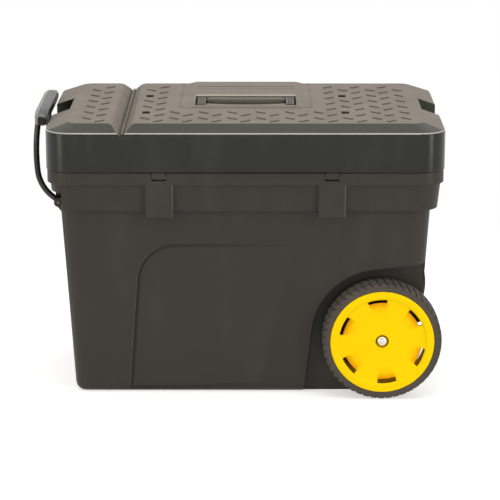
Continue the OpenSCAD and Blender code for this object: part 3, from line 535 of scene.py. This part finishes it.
lid_form = moulding("lid")
lips = [e for e in lid_form.edges if e.is_manifold and e.is_convex
        and sum(on_groove_wall(f) for f in e.link_faces) == 1
        and all(v.co.z > GROOVE_LIP_Z for v in e.verts) and e.calc_length() > 0.1]
bmesh.ops.bevel(lid_form, geom=lips, offset=GROOVE_LIP, segments=4, profile=0.5,
                affect="EDGES", material=-1, clamp_overlap=False)
for across in GROOVE_DARK:
    walls = [f for f in lid_form.faces if on_groove_wall(f)]
    near = {part for f in walls for part in (*f.verts, *f.edges)}
    bmesh.ops.bisect_plane(lid_form, geom=walls + list(near), dist=0.00001,
                           plane_co=(GROOVE_X + across, 0, 0), plane_no=(1, 0, 0))
for face in lid_form.faces:
    middle, out = face.calc_center_median(), face.normal
    rise = abs(middle.z - SHOULDER_LINE[0])
    # the shoulder line gets a painted highlight
    if rise < SHOULDER_LINE[1] and out.z > 0.3 and not on_groove_wall(face):
        face.material_index = SHOULDER_HIGHLIGHT
    elif abs(middle.y) > BEVEL_Y and 0.3 < out.z < 0.97 and abs(out.y) > 0.35 * abs(out.x):
        face.material_index = BEVEL_LIT
    elif in_strap_slot(middle) and abs(out.z) < 0.3:
        face.material_index = SHADED
    # the notch at the right end is painted lighter, where the light falls on it
    elif in_notch(face, 1):
        face.material_index = BEVEL_LIT
    elif middle.z < SHOULDER_Z and out.z < 0.5 or in_notch(face, -1):
        face.material_index = POLISHED
    # the groove's lower strip and its right wall are painted in shade
    elif on_groove_wall(face) and middle.x - GROOVE_X > GROOVE_DARK[0]:
        face.material_index = SHADED if middle.x - GROOVE_X < GROOVE_DARK[1] else GROOVE_SHADED
    if middle.z < RIM_Z and abs(middle.y) > RIM_Y:
        face.material_index = PLAIN
for edge in lid_form.edges:
    if not edge.is_manifold:
        continue
    if math.radians(CREASES[0]) < edge.calc_face_angle() <= math.radians(CREASES[1]):
        edge.smooth = on_groove_wall(edge.link_faces[0]) and on_groove_wall(edge.link_faces[1])
round_edges(lid_form, LID_EDGE, sharper_than=CREASES[1], shortest=0.0019)
# painted light: the grained faces' lighter tone; their matt grain is real
lid_grained_lit = moulded_plastic("lid_grained_lit", LID_GRAINED_LIT, 0.7, cloud=0.07, grain=0.0014,
                              depth=0.00008)
lid_polished = moulded_plastic("lid_polished", LID_POLISHED, 0.22, cloud=0.10, rub=0.35,
                               sheen=0.37)
# painted highlight
lid_shoulder_highlight = moulded_plastic("lid_shoulder_highlight", LID_SHOULDER_HIGHLIGHT, 0.3, cloud=0.05)
# painted half-light, for the bevels and the right notch
lid_bevel_lit = moulded_plastic("lid_bevel_lit", LID_BEVEL_LIT, 0.5, cloud=0.06, rub=0.15, sheen=0.15)
lid_shaded = moulded_plastic("lid_shaded", LID_SHADED, 0.6, cloud=0.10)
# painted shade for the groove's right wall
lid_groove_shaded = moulded_plastic("lid_groove_shaded", LID_GROOVE_SHADED, 0.7, cloud=0.08, grain=0.0014)
lid = piece_from(lid_form, "lid_moulding", "lid", lid_grained_lit, lid_polished, lid_shoulder_highlight,
                 tub_plastic, lid_bevel_lit, lid_shaded, lid_groove_shaded)
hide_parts("lid")

# ---- Lid tread ----
# Low bars stand out of the lid's top in two slanting directions, so that a foot doesn't
# slip. They are part of the lid's moulding, and leave room for the groove and the handle.
# Their tops keep the lid top's painted light, and their sides are painted in shade.

BAR_LENGTH = 0.0185
BAR_WIDTH = 0.0046
BAR_HEIGHT = 0.0020
BAR_ROOT = (0.001, 0.0006)      # how much taller it is made, and how far down that sets it
BAR_SOFT = (0.0011, 0.0009)     # how far in and how far down its top edge is softened
# the bars' sides are painted in shade
BAR_SIDE_SHADE = (102, 95, 86)
LID_TOP = 0.4170
TREAD_SETS = ((45, 0.0, -149.5, 7), (-45, 22.9, -129.5, 6))    # slant, first column, row, rows
TREAD_PITCH = (43.0, 46.4)      # millimetres between columns and rows of one slant
TREAD_HALF = 240
FIELD_COLUMNS = 120             # nearer the middle than this, only the near rows are there
NEAR_ROWS = 2
GROOVE_GAP = 22
STRAP_GAP = (6, 9)


def tread_bar():
    """One bar: a flat lozenge with rounded ends and a softened top."""
    form = bmesh.new()
    bmesh.ops.create_cube(form, size=1)
    bmesh.ops.scale(form, vec=(BAR_LENGTH, BAR_WIDTH, BAR_HEIGHT + BAR_ROOT[0]),
                    verts=form.verts)
    upright = [e for e in form.edges if abs(e.verts[0].co.z - e.verts[1].co.z) > 0.0005]
    bmesh.ops.bevel(form, geom=upright, offset=BAR_WIDTH * 0.45, segments=3, profile=0.5,
                    affect="EDGES", material=-1)
    top = [f for f in form.faces if f.normal.z > 0.9]
    bmesh.ops.inset_region(form, faces=top, thickness=BAR_SOFT[0], use_even_offset=True)
    low = [v for v in form.verts if v.co.z > 0 and v not in {c for f in top for c in f.verts}]
    bmesh.ops.translate(form, vec=(0, 0, -BAR_SOFT[1]), verts=low)
    middle_z = LID_TOP - BAR_ROOT[1] + BAR_HEIGHT / 2
    bmesh.ops.translate(form, vec=(0, 0, middle_z), verts=form.verts)
    # tops take the lid top's painted light, sides painted shade
    for face in form.faces:
        face.material_index = 0 if face.normal.z > 0.8 else 1
    return form


def tread_rows(first, count, column):
    """Rows of one column: all of them beside the handle's field, the near ones in front of it."""
    rows = [first + TREAD_PITCH[1] * j for j in range(count)]
    return rows if abs(column) > FIELD_COLUMNS else rows[:NEAR_ROWS]


bar = bpy.data.meshes.new("tread_bar")
bar_form = tread_bar()
bar_form.to_mesh(bar)
bar_form.free()
tread_form = bmesh.new()
for slant, first_column, first_row, count in TREAD_SETS:
    turn = Matrix.Rotation(math.radians(slant), 4, "Z")
    for k in range(-6, 6):
        column = first_column + TREAD_PITCH[0] * k
        if abs(column) > TREAD_HALF or abs(column - GROOVE_X * 1000) < GROOVE_GAP:
            continue
        for row in tread_rows(first_row, count, column):
            if any(abs(column - x) < STRAP_GAP[0] and abs(row - y) < STRAP_GAP[1]
                   for x, y in STRAP_SLOTS):
                continue
            before = len(tread_form.verts)
            tread_form.from_mesh(bar)
            tread_form.verts.ensure_lookup_table()
            place = Matrix.Translation((column / 1000, row / 1000, 0)) @ turn
            bmesh.ops.transform(tread_form, matrix=place, verts=tread_form.verts[before:])
bpy.data.meshes.remove(bar)
bar_side_shade = moulded_plastic("bar_side_shade", BAR_SIDE_SHADE, 0.6, cloud=0.07)
tread = piece_from(tread_form, "lid_tread", "lid", lid_grained_lit, bar_side_shade)

# ---- Lid beads ----
# Fine raised beads outline the handle's field, and a ridge runs along one wall of the saw
# groove. They are moulded with the lid.

FIELD_HALF_X = 0.100
FIELD_FRONT_Y = -0.0400
FIELD_BACK_Y = 0.1655
PLATFORM_SIDE_X = 0.086
BEAD_SIZE = (0.0016, 0.0009)    # width, height
BEAD_ROOT = 0.0008              # added to a bead's height, so that it stands in the lid
RIDGE_X = -0.1805
RIDGE_Z = 0.4030
RIDGE_HALF_Y = 0.185
RIDGE_SIZE = (0.0036, 0.0040)


def bead(form, start, end, width, height):
    """A low bar with a rounded top, laid from one point to another."""
    start, end = Vector(start), Vector(end)
    run = end - start
    made = bmesh.ops.create_cube(form, size=1)["verts"]
    bmesh.ops.scale(form, vec=(run.length, width, height + BEAD_ROOT), verts=made)
    tops = [e for v in made for e in v.link_edges
            if e.verts[0].co.z > 0 and e.verts[1].co.z > 0
            and abs(e.verts[0].co.y - e.verts[1].co.y) < 0.00001]
    rounded = bmesh.ops.bevel(form, geom=list(set(tops)), offset=min(width, height) * 0.45,
                              segments=2, profile=0.5, affect="EDGES", material=-1)
    whole = list({v for v in made if v.is_valid} | set(rounded["verts"]))
    turn = run.to_track_quat("X", "Z").to_matrix().to_4x4()
    bmesh.ops.transform(form, matrix=Matrix.Translation((start + end) / 2) @ turn, verts=whole)


bead_form = bmesh.new()
for side in (-1, 1):
    x = side * FIELD_HALF_X
    bead(bead_form, (x, FIELD_FRONT_Y, LID_TOP), (x, FIELD_BACK_Y, LID_TOP), *BEAD_SIZE)
    x = side * (FIELD_HALF_X + BEAD_SIZE[0] / 2)
    bead(bead_form, (side * PLATFORM_SIDE_X, FIELD_FRONT_Y, LID_TOP), (x, FIELD_FRONT_Y, LID_TOP),
         *BEAD_SIZE)
bead(bead_form, (RIDGE_X, -RIDGE_HALF_Y, RIDGE_Z), (RIDGE_X, RIDGE_HALF_Y, RIDGE_Z), *RIDGE_SIZE)
beads = piece_from(bead_form, "lid_beads", "lid", lid_grained_lit)

# ---- Pocket lips ----
# The handle pocket has a lip along its back, painted with a highlight, and along its front
# a shelf with a bowed edge, over the ramp for the fingers. Both are moulded with the lid.

PLATFORM_TOP = 0.4202
# a painted highlight along the pocket's back lip
LIP_HIGHLIGHT = (172, 163, 151)
LIP_HALF_X = 0.0775
LIP_Y = 0.0412
LIP_SIZE = (0.0080, 0.0010)
SHELF_HALF_X = 0.0600
SHELF_FRONT_Y = -0.0378
SHELF_REACH = 0.0185
SHELF_BOW = 0.0095
SHELF_TOP = 0.4200
SHELF_FALL = 0.0006             # how much lower its bowed edge is
SHELF_THICK = 0.0045
SHELF_EDGE = 0.0006

lip_form = bmesh.new()
bead(lip_form, (-LIP_HALF_X, LIP_Y, PLATFORM_TOP), (LIP_HALF_X, LIP_Y, PLATFORM_TOP), *LIP_SIZE)
back_lip = piece_from(lip_form, "pocket_back_lip", "lid",
                      moulded_plastic("lip_highlight", LIP_HIGHLIGHT, 0.6, cloud=0.07, grain=0.0014))

shelf_form = bmesh.new()
bmesh.ops.create_grid(shelf_form, x_segments=24, y_segments=3, size=0.5)
for vert in shelf_form.verts:
    across, inward = 2 * vert.co.x, vert.co.y + 0.5
    reach = SHELF_REACH - SHELF_BOW * (1 - across ** 2)
    vert.co = (SHELF_HALF_X * across, SHELF_FRONT_Y + reach * inward,
               SHELF_TOP - SHELF_FALL * inward)
made = bmesh.ops.extrude_face_region(shelf_form, geom=shelf_form.faces[:])["geom"]
underside = [g for g in made if isinstance(g, bmesh.types.BMVert)]
bmesh.ops.translate(shelf_form, vec=(0, 0, -SHELF_THICK), verts=underside)
bmesh.ops.recalc_face_normals(shelf_form, faces=shelf_form.faces)
round_edges(shelf_form, SHELF_EDGE, sharper_than=50)
shelf = piece_from(shelf_form, "pocket_front_shelf", "lid", lid_grained_lit)

# ---- Carry handle ----
# A folding handle lies in the pocket of the lid. It is one moulding: two arms with
# hatched tops that turn on pins, and a smooth strap-shaped bar that bows out between them.

CARRY_GREY = (86, 79, 70)
CARRY_PIVOT = (-0.021, 0.4052)  # y, z
CARRY_TOP = 0.4196
ARM_TOP = 0.4189                # lower than the bar, so that the hatching clears the pocket's wall
CARRY_BACK_Y = 0.034
CARRY_EYE_R = 0.011
ARM_INSIDE = 0.0615
ARM_OUTSIDE = 0.0740
ARM_NECK = 0.004                # how far behind the pivot the straight part of the arm begins
ARM_DROP = 0.009                # how far below the pivot its underside lies
ARM_EDGE = 0.0009
HATCH_SIZE = (0.0011, 0.0006)   # width, height
HATCH_PITCH = (0.0026, 0.0062)
HATCH_HALF = 0.005              # half the length of a cross line
HATCH_ROWS = 9
CARRY_BAR_LOW = 0.4030
CARRY_BAR_FRONT_Y = 0.0185
CARRY_BAR_STEPS = 30
CARRY_BAR_ROOT = 0.001          # how far each end stands in its arm
CARRY_BAR_FULL = (0.18, 1.12)   # fuller than an oval in depth and in height
CARRY_BAR_SLIM = (0.86, 0.22)   # from where its ends get slimmer, and the share they lose
CARRY_BOW = 0.0030


def handle_arm(form, low_x, high_x):
    """An arm's side outline, round at the pivot, drawn out to its width."""
    y, z = CARRY_PIVOT
    outline = [Vector((low_x, y - CARRY_EYE_R * math.cos(a), z + CARRY_EYE_R * math.sin(a)))
               for a in [math.radians(-90 + 15 * k) for k in range(13)]]
    corners = ((y + ARM_NECK, ARM_TOP), (CARRY_BACK_Y, ARM_TOP),
               (CARRY_BACK_Y, z - ARM_DROP), (y + ARM_NECK, z - ARM_DROP))
    outline += [Vector((low_x, *corner)) for corner in corners]
    side = form.faces.new([form.verts.new(p) for p in outline])
    made = bmesh.ops.extrude_face_region(form, geom=[side])["geom"]
    far = [g for g in made if isinstance(g, bmesh.types.BMVert)]
    bmesh.ops.translate(form, vec=(high_x - low_x, 0, 0), verts=far)


carry_form = bmesh.new()
handle_arm(carry_form, ARM_INSIDE, ARM_OUTSIDE)
handle_arm(carry_form, -ARM_OUTSIDE, -ARM_INSIDE)
bmesh.ops.recalc_face_normals(carry_form, faces=carry_form.faces)
round_edges(carry_form, ARM_EDGE, sharper_than=40)
for side in (-1, 1):
    middle = side * (ARM_INSIDE + ARM_OUTSIDE) / 2
    ends_y = (CARRY_PIVOT[0] - 0.004, CARRY_BACK_Y - 0.003)
    for k in (-1.5, -0.5, 0.5, 1.5):
        x = middle + HATCH_PITCH[0] * k
        bead(carry_form, (x, ends_y[0], ARM_TOP), (x, ends_y[1], ARM_TOP), *HATCH_SIZE)
    ends_x = (middle - HATCH_HALF, middle + HATCH_HALF)
    for k in range(HATCH_ROWS):
        y = CARRY_PIVOT[0] - 0.001 + HATCH_PITCH[1] * k
        bead(carry_form, (ends_x[0], y, ARM_TOP), (ends_x[1], y, ARM_TOP), *HATCH_SIZE)

bar_form = bmesh.new()
ring = bmesh.ops.create_circle(bar_form, segments=24, radius=0.5)["verts"]
bmesh.ops.transform(bar_form, matrix=Matrix.Rotation(math.radians(90), 4, "Y"), verts=ring)
bar_size = Vector((1, CARRY_BACK_Y - CARRY_BAR_FRONT_Y, CARRY_TOP - CARRY_BAR_LOW))
bmesh.ops.scale(bar_form, vec=bar_size, verts=ring)
for vert in ring:               # and flat on top and underneath
    vert.co.y *= 1.0 + CARRY_BAR_FULL[0] * (abs(vert.co.z) / bar_size.z)
    height = min(abs(vert.co.z) * CARRY_BAR_FULL[1], bar_size.z / 2)
    vert.co.z = math.copysign(height, vert.co.z)
bar_middle = ((CARRY_BACK_Y + CARRY_BAR_FRONT_Y) / 2, (CARRY_TOP + CARRY_BAR_LOW) / 2)
bmesh.ops.translate(bar_form, vec=(-ARM_INSIDE - CARRY_BAR_ROOT, *bar_middle), verts=ring)
step = (2 * ARM_INSIDE + 2 * CARRY_BAR_ROOT) / CARRY_BAR_STEPS
bmesh.ops.spin(bar_form, geom=bar_form.edges[:], cent=(0, 0, 0), axis=(1, 0, 0), angle=0,
               dvec=(step, 0, 0), steps=CARRY_BAR_STEPS, use_duplicate=False)
bmesh.ops.holes_fill(bar_form, edges=[e for e in bar_form.edges if e.is_boundary], sides=0)
for vert in bar_form.verts:
    along = min(1, abs(vert.co.x) / ARM_INSIDE)
    near_end = max(0, (along - CARRY_BAR_SLIM[0]) / (1 - CARRY_BAR_SLIM[0]))
    slim = 1 - CARRY_BAR_SLIM[1] * near_end
    vert.co.y = bar_middle[0] + (vert.co.y - bar_middle[0]) * slim - CARRY_BOW * (1 - along ** 2)
    vert.co.z = bar_middle[1] + (vert.co.z - bar_middle[1]) * slim
bmesh.ops.recalc_face_normals(bar_form, faces=bar_form.faces)
bar_mesh = bpy.data.meshes.new("carry_bar")
bar_form.to_mesh(bar_mesh)
bar_form.free()
carry_form.from_mesh(bar_mesh)
bpy.data.meshes.remove(bar_mesh)

carry_plastic = moulded_plastic("carry_plastic", CARRY_GREY, 0.36, cloud=0.06, rub=0.2)
carry = piece_from(carry_form, "carry_handle_moulding", "carry_handle", carry_plastic)
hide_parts("carry_handle")

# ---- Pull handle ----
# A round steel rod, bent and powder coated gloss black, swings on two pins under the
# rim. Two grip halves are screwed together round its cross bar.

ROD_BLACK = (26, 25, 23)
ROD_R = 0.00448
ROD_PIVOT = (-0.281, 0.286)     # x, z
ROD_ARM_Y = 0.104
FOOT_HEADING, BOW_HEADING, TOP_HEADING = 142, 95.5, 82
FOOT_LENGTH = 0.011
LOW_BEND_R = 0.058
BOW_R = 0.290
TOP_LENGTH = 0.009
CROSS_BAR_R = 0.0038
ROD_EYE_R = 0.005
ROD_EYE_WIDTH = 0.012
ROD_EDGE = 0.0007


def heading(degrees):
    """A direction in the upright plane along the chest, counted up from its wheel end."""
    return Vector((math.cos(math.radians(degrees)), 0, math.sin(math.radians(degrees))))


def drawn_on(form, edges, way):
    """Draws the rod's end straight on; gives the new end."""
    made = bmesh.ops.extrude_edge_only(form, edges=edges)["geom"]
    bmesh.ops.translate(form, vec=way, verts=[g for g in made if isinstance(g, bmesh.types.BMVert)])
    return [g for g in made if isinstance(g, bmesh.types.BMEdge)]


def bent_on(form, edges, at, radius, start, end, steps):
    """Bends the rod's end from one heading round to another; gives the new end and its place."""
    side = Vector((math.sin(math.radians(start)), 0, -math.cos(math.radians(start))))
    centre = at + radius * side
    made = bmesh.ops.spin(form, geom=edges, cent=centre, axis=(0, 1, 0), steps=steps,
                          angle=math.radians(start - end), use_duplicate=False)["geom_last"]
    there = centre + Matrix.Rotation(math.radians(start - end), 3, "Y") @ (at - centre)
    return [g for g in made if isinstance(g, bmesh.types.BMEdge)], there


rod_form = bmesh.new()
lying = Matrix.Rotation(math.radians(90), 4, "X")
for side in (-1, 1):
    foot = Vector((ROD_PIVOT[0], side * ROD_ARM_Y, ROD_PIVOT[1]))
    stand = Matrix.Translation(foot) @ Matrix.Rotation(math.radians(90 - FOOT_HEADING), 4, "Y")
    ring = bmesh.ops.create_circle(rod_form, segments=24, radius=ROD_R, matrix=stand)["verts"]
    end = list({e for v in ring for e in v.link_edges})
    end = drawn_on(rod_form, end, FOOT_LENGTH * heading(FOOT_HEADING))
    at = foot + FOOT_LENGTH * heading(FOOT_HEADING)
    end, at = bent_on(rod_form, end, at, LOW_BEND_R, FOOT_HEADING, BOW_HEADING, 12)
    end, at = bent_on(rod_form, end, at, BOW_R, BOW_HEADING, TOP_HEADING, 10)
    end = drawn_on(rod_form, end, (TOP_LENGTH + ROD_R) * heading(TOP_HEADING))
    cross_bar = at + TOP_LENGTH * heading(TOP_HEADING)
    bmesh.ops.create_cone(rod_form, cap_ends=True, segments=32, radius1=ROD_EYE_R,
                          radius2=ROD_EYE_R, depth=ROD_EYE_WIDTH,
                          matrix=Matrix.Translation(foot) @ lying)
across = Matrix.Translation((cross_bar.x, 0, cross_bar.z)) @ lying
bmesh.ops.create_cone(rod_form, cap_ends=True, segments=24, radius1=CROSS_BAR_R,
                      radius2=CROSS_BAR_R, depth=2 * ROD_ARM_Y, matrix=across)
bmesh.ops.holes_fill(rod_form, edges=[e for e in rod_form.edges if e.is_boundary], sides=0)
bmesh.ops.recalc_face_normals(rod_form, faces=rod_form.faces)
round_edges(rod_form, ROD_EDGE, sharper_than=60)

# powder coating: near black and glossy, with a slight orange-peel surface
rod_coating = moulded_plastic("rod_coating", ROD_BLACK, 0.2, cloud=0.2, grain=0.0024,
                              depth=0.00002, rub=0.12)
coat = rod_coating.node_tree.nodes["Principled BSDF"].inputs
coat["Coat Weight"].default_value = 0.4
coat["Coat Roughness"].default_value = 0.08
rod = piece_from(rod_form, "pull_rod", "pull_handle", rod_coating)
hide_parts("pull_handle_rod")

GRIP_GREY = (140, 134, 127)
GRIP_INNER_BLACK = (24, 23, 22)
GRIP_EDGE = 0.0005
GRIP_HALVES = (("pull_grip_outer", GRIP_GREY, 0.5, "grip_plastic"),
               ("pull_grip_inner", GRIP_INNER_BLACK, 0.28, "grip_inner_plastic"))
for grip_node, colour, rough, slot in GRIP_HALVES:
    grip_form = moulding(grip_node)
    round_edges(grip_form, GRIP_EDGE, sharper_than=40)
    grip = piece_from(grip_form, grip_node + "_half", "pull_handle",
                      moulded_plastic(grip_node + "_plastic", colour, rough, cloud=0.08, rub=0.25))
    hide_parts(grip_node)
wears("pull_grip_screws", pin_steel)

# ---- Latches ----
# Two hook latches hang on pins from lugs on the lid and snap under the rim. Each is a
# black moulding with a lip at its foot for the fingers.

LATCH_BLACK = (34, 33, 32)
LATCH_EDGE = 0.0006

latch_plastic = moulded_plastic("latch_plastic", LATCH_BLACK, 0.38, cloud=0.08, rub=0.25)
for latch_node in ("left_latch", "right_latch"):
    latch_form = moulding(latch_node)
    round_edges(latch_form, LATCH_EDGE, sharper_than=30)
    latch = piece_from(latch_form, latch_node + "_moulding", latch_node, latch_plastic)
    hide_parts(latch_node)

# ---- Tote tray ----
# The lift-out tray slides on a ledge inside the rim. It is a black moulding with four
# bins, and a round grip bar stands on two posts in its middle web.

TRAY_BLACK = (38, 37, 36)
TRAY_EDGE = 0.0006

tray_plastic = moulded_plastic("tray_plastic", TRAY_BLACK, 0.42, cloud=0.08, rub=0.25)
for tray_node in ("tote_tray", "tote_handle"):
    tray_form = moulding(tray_node)
    round_edges(tray_form, TRAY_EDGE, sharper_than=40)
    tray = piece_from(tray_form, tray_node + "_moulding", "tote_tray", tray_plastic)
    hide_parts(tray_node)

# ---- Studio ----
# A pale floor under a white surround, two overhead softboxes, two tall side softboxes and
# a weak front fill. The camera stands low and far off, as for a catalogue picture.

CAMERA_PLACE = (0.0139, -3.416, 1.0580)
CAMERA_TURN = (math.radians(75.637), 0, math.radians(0.126))
CAMERA_LENS = 162.69
PAPER_SIZE = 30
PAPER_GREY = 0.86
PAPER_LIFT = 0.5
PAPER_FADE = (0.42, 1.1)        # metres from the middle: the paper runs out into plain white
AMBIENT = 0.34


def background_rays(nodes, links):
    """One for the rays that see the background: the camera's, and those off or through a piece."""
    rays = nodes.new("ShaderNodeLightPath")
    indirect = nodes.new("ShaderNodeMath")
    indirect.operation = "MAXIMUM"
    links.new(rays.outputs["Is Glossy Ray"], indirect.inputs[0])
    links.new(rays.outputs["Is Transmission Ray"], indirect.inputs[1])
    seen = nodes.new("ShaderNodeMath")
    seen.operation = "MAXIMUM"
    links.new(rays.outputs["Is Camera Ray"], seen.inputs[0])
    links.new(indirect.outputs["Value"], seen.inputs[1])
    return seen.outputs["Value"]


bpy.ops.mesh.primitive_plane_add(size=PAPER_SIZE, location=(0, 0, 0))
floor = bpy.context.active_object
floor.name = "studio_floor"
paper = bpy.data.materials.new("studio_paper")
paper.use_nodes = True
nodes, links = paper.node_tree.nodes, paper.node_tree.links
shader = nodes["Principled BSDF"]
shader.inputs["Base Color"].default_value = (PAPER_GREY, PAPER_GREY, PAPER_GREY, 1)
shader.inputs["Roughness"].default_value = 0.9
shader.inputs["Specular IOR Level"].default_value = 0.1
place = nodes.new("ShaderNodeTexCoord")
reach = nodes.new("ShaderNodeVectorMath")
reach.operation = "LENGTH"
links.new(place.outputs["Object"], reach.inputs[0])
fade = nodes.new("ShaderNodeMapRange")
fade.interpolation_type = "SMOOTHSTEP"
fade.inputs["From Min"].default_value = PAPER_FADE[0]
fade.inputs["From Max"].default_value = PAPER_FADE[1]
links.new(reach.outputs["Value"], fade.inputs["Value"])
seen = background_rays(nodes, links)
lift = nodes.new("ShaderNodeEmission")
lift.inputs["Strength"].default_value = PAPER_LIFT
unlit = nodes.new("ShaderNodeEmission")
unlit.inputs["Strength"].default_value = 0
lifted = nodes.new("ShaderNodeMixShader")
links.new(seen, lifted.inputs["Fac"])
links.new(unlit.outputs["Emission"], lifted.inputs[1])
links.new(lift.outputs["Emission"], lifted.inputs[2])
near = nodes.new("ShaderNodeAddShader")
links.new(shader.outputs["BSDF"], near.inputs[0])
links.new(lifted.outputs["Shader"], near.inputs[1])
white = nodes.new("ShaderNodeEmission")
white.inputs["Strength"].default_value = 1
away = nodes.new("ShaderNodeMath")
away.operation = "MULTIPLY"
links.new(fade.outputs["Result"], away.inputs[0])
links.new(seen, away.inputs[1])
choice = nodes.new("ShaderNodeMixShader")
links.new(away.outputs["Value"], choice.inputs["Fac"])
links.new(near.outputs["Shader"], choice.inputs[1])
links.new(white.outputs["Emission"], choice.inputs[2])
links.new(choice.outputs["Shader"], nodes["Material Output"].inputs["Surface"])
floor.data.materials.append(paper)

world = bpy.data.worlds.new("studio")
bpy.context.scene.world = world
world.use_nodes = True
nodes, links = world.node_tree.nodes, world.node_tree.links
ambient = nodes["Background"]
ambient.inputs["Color"].default_value = (1.0, 0.98, 0.94, 1)
ambient.inputs["Strength"].default_value = AMBIENT
white = nodes.new("ShaderNodeBackground")
white.inputs["Color"].default_value = (1, 1, 1, 1)
white.inputs["Strength"].default_value = 1
choice = nodes.new("ShaderNodeMixShader")
links.new(background_rays(nodes, links), choice.inputs["Fac"])
links.new(ambient.outputs["Background"], choice.inputs[1])
links.new(white.outputs["Background"], choice.inputs[2])
links.new(choice.outputs["Shader"], nodes["World Output"].inputs["Surface"])


def softbox(name, place, aim, width, height, power, tint=(1, 1, 1)):
    """A rectangular lamp at a place, facing a point."""
    light = bpy.data.lights.new(name, "AREA")
    light.shape = "RECTANGLE"
    light.size, light.size_y = width, height
    light.energy = power
    light.color = tint
    lamp = bpy.data.objects.new(name, light)
    bpy.context.scene.collection.objects.link(lamp)
    lamp.location = place
    lamp.rotation_euler = (Vector(aim) - Vector(place)).to_track_quat("-Z", "Y").to_euler()
    return lamp


softbox("overhead", (0.0, -0.45, 2.1), (0, 0, 0.3), 2.4, 0.8, 15)
softbox("back_top", (0.0, 1.3, 1.9), (0, 0.1, 0.4), 2.4, 0.8, 19)
softbox("left_strip", (-1.75, -1.45, 0.75), (0, 0, 0.3), 0.60, 1.7, 18, (1, 0.97, 0.88))
softbox("right_strip", (1.75, -1.45, 0.75), (0, 0, 0.3), 0.45, 1.7, 20)
softbox("front_fill", (0.3, -3.2, 0.5), (0, 0, 0.1), 1.8, 0.8, 6)

camera_data = bpy.data.cameras.new("camera")
camera_data.lens = CAMERA_LENS
camera_data.clip_end = 60
camera = bpy.data.objects.new("camera", camera_data)
camera.location = CAMERA_PLACE
camera.rotation_euler = CAMERA_TURN
bpy.context.scene.collection.objects.link(camera)
bpy.context.scene.camera = camera
bpy.context.scene.view_settings.view_transform = "Standard"
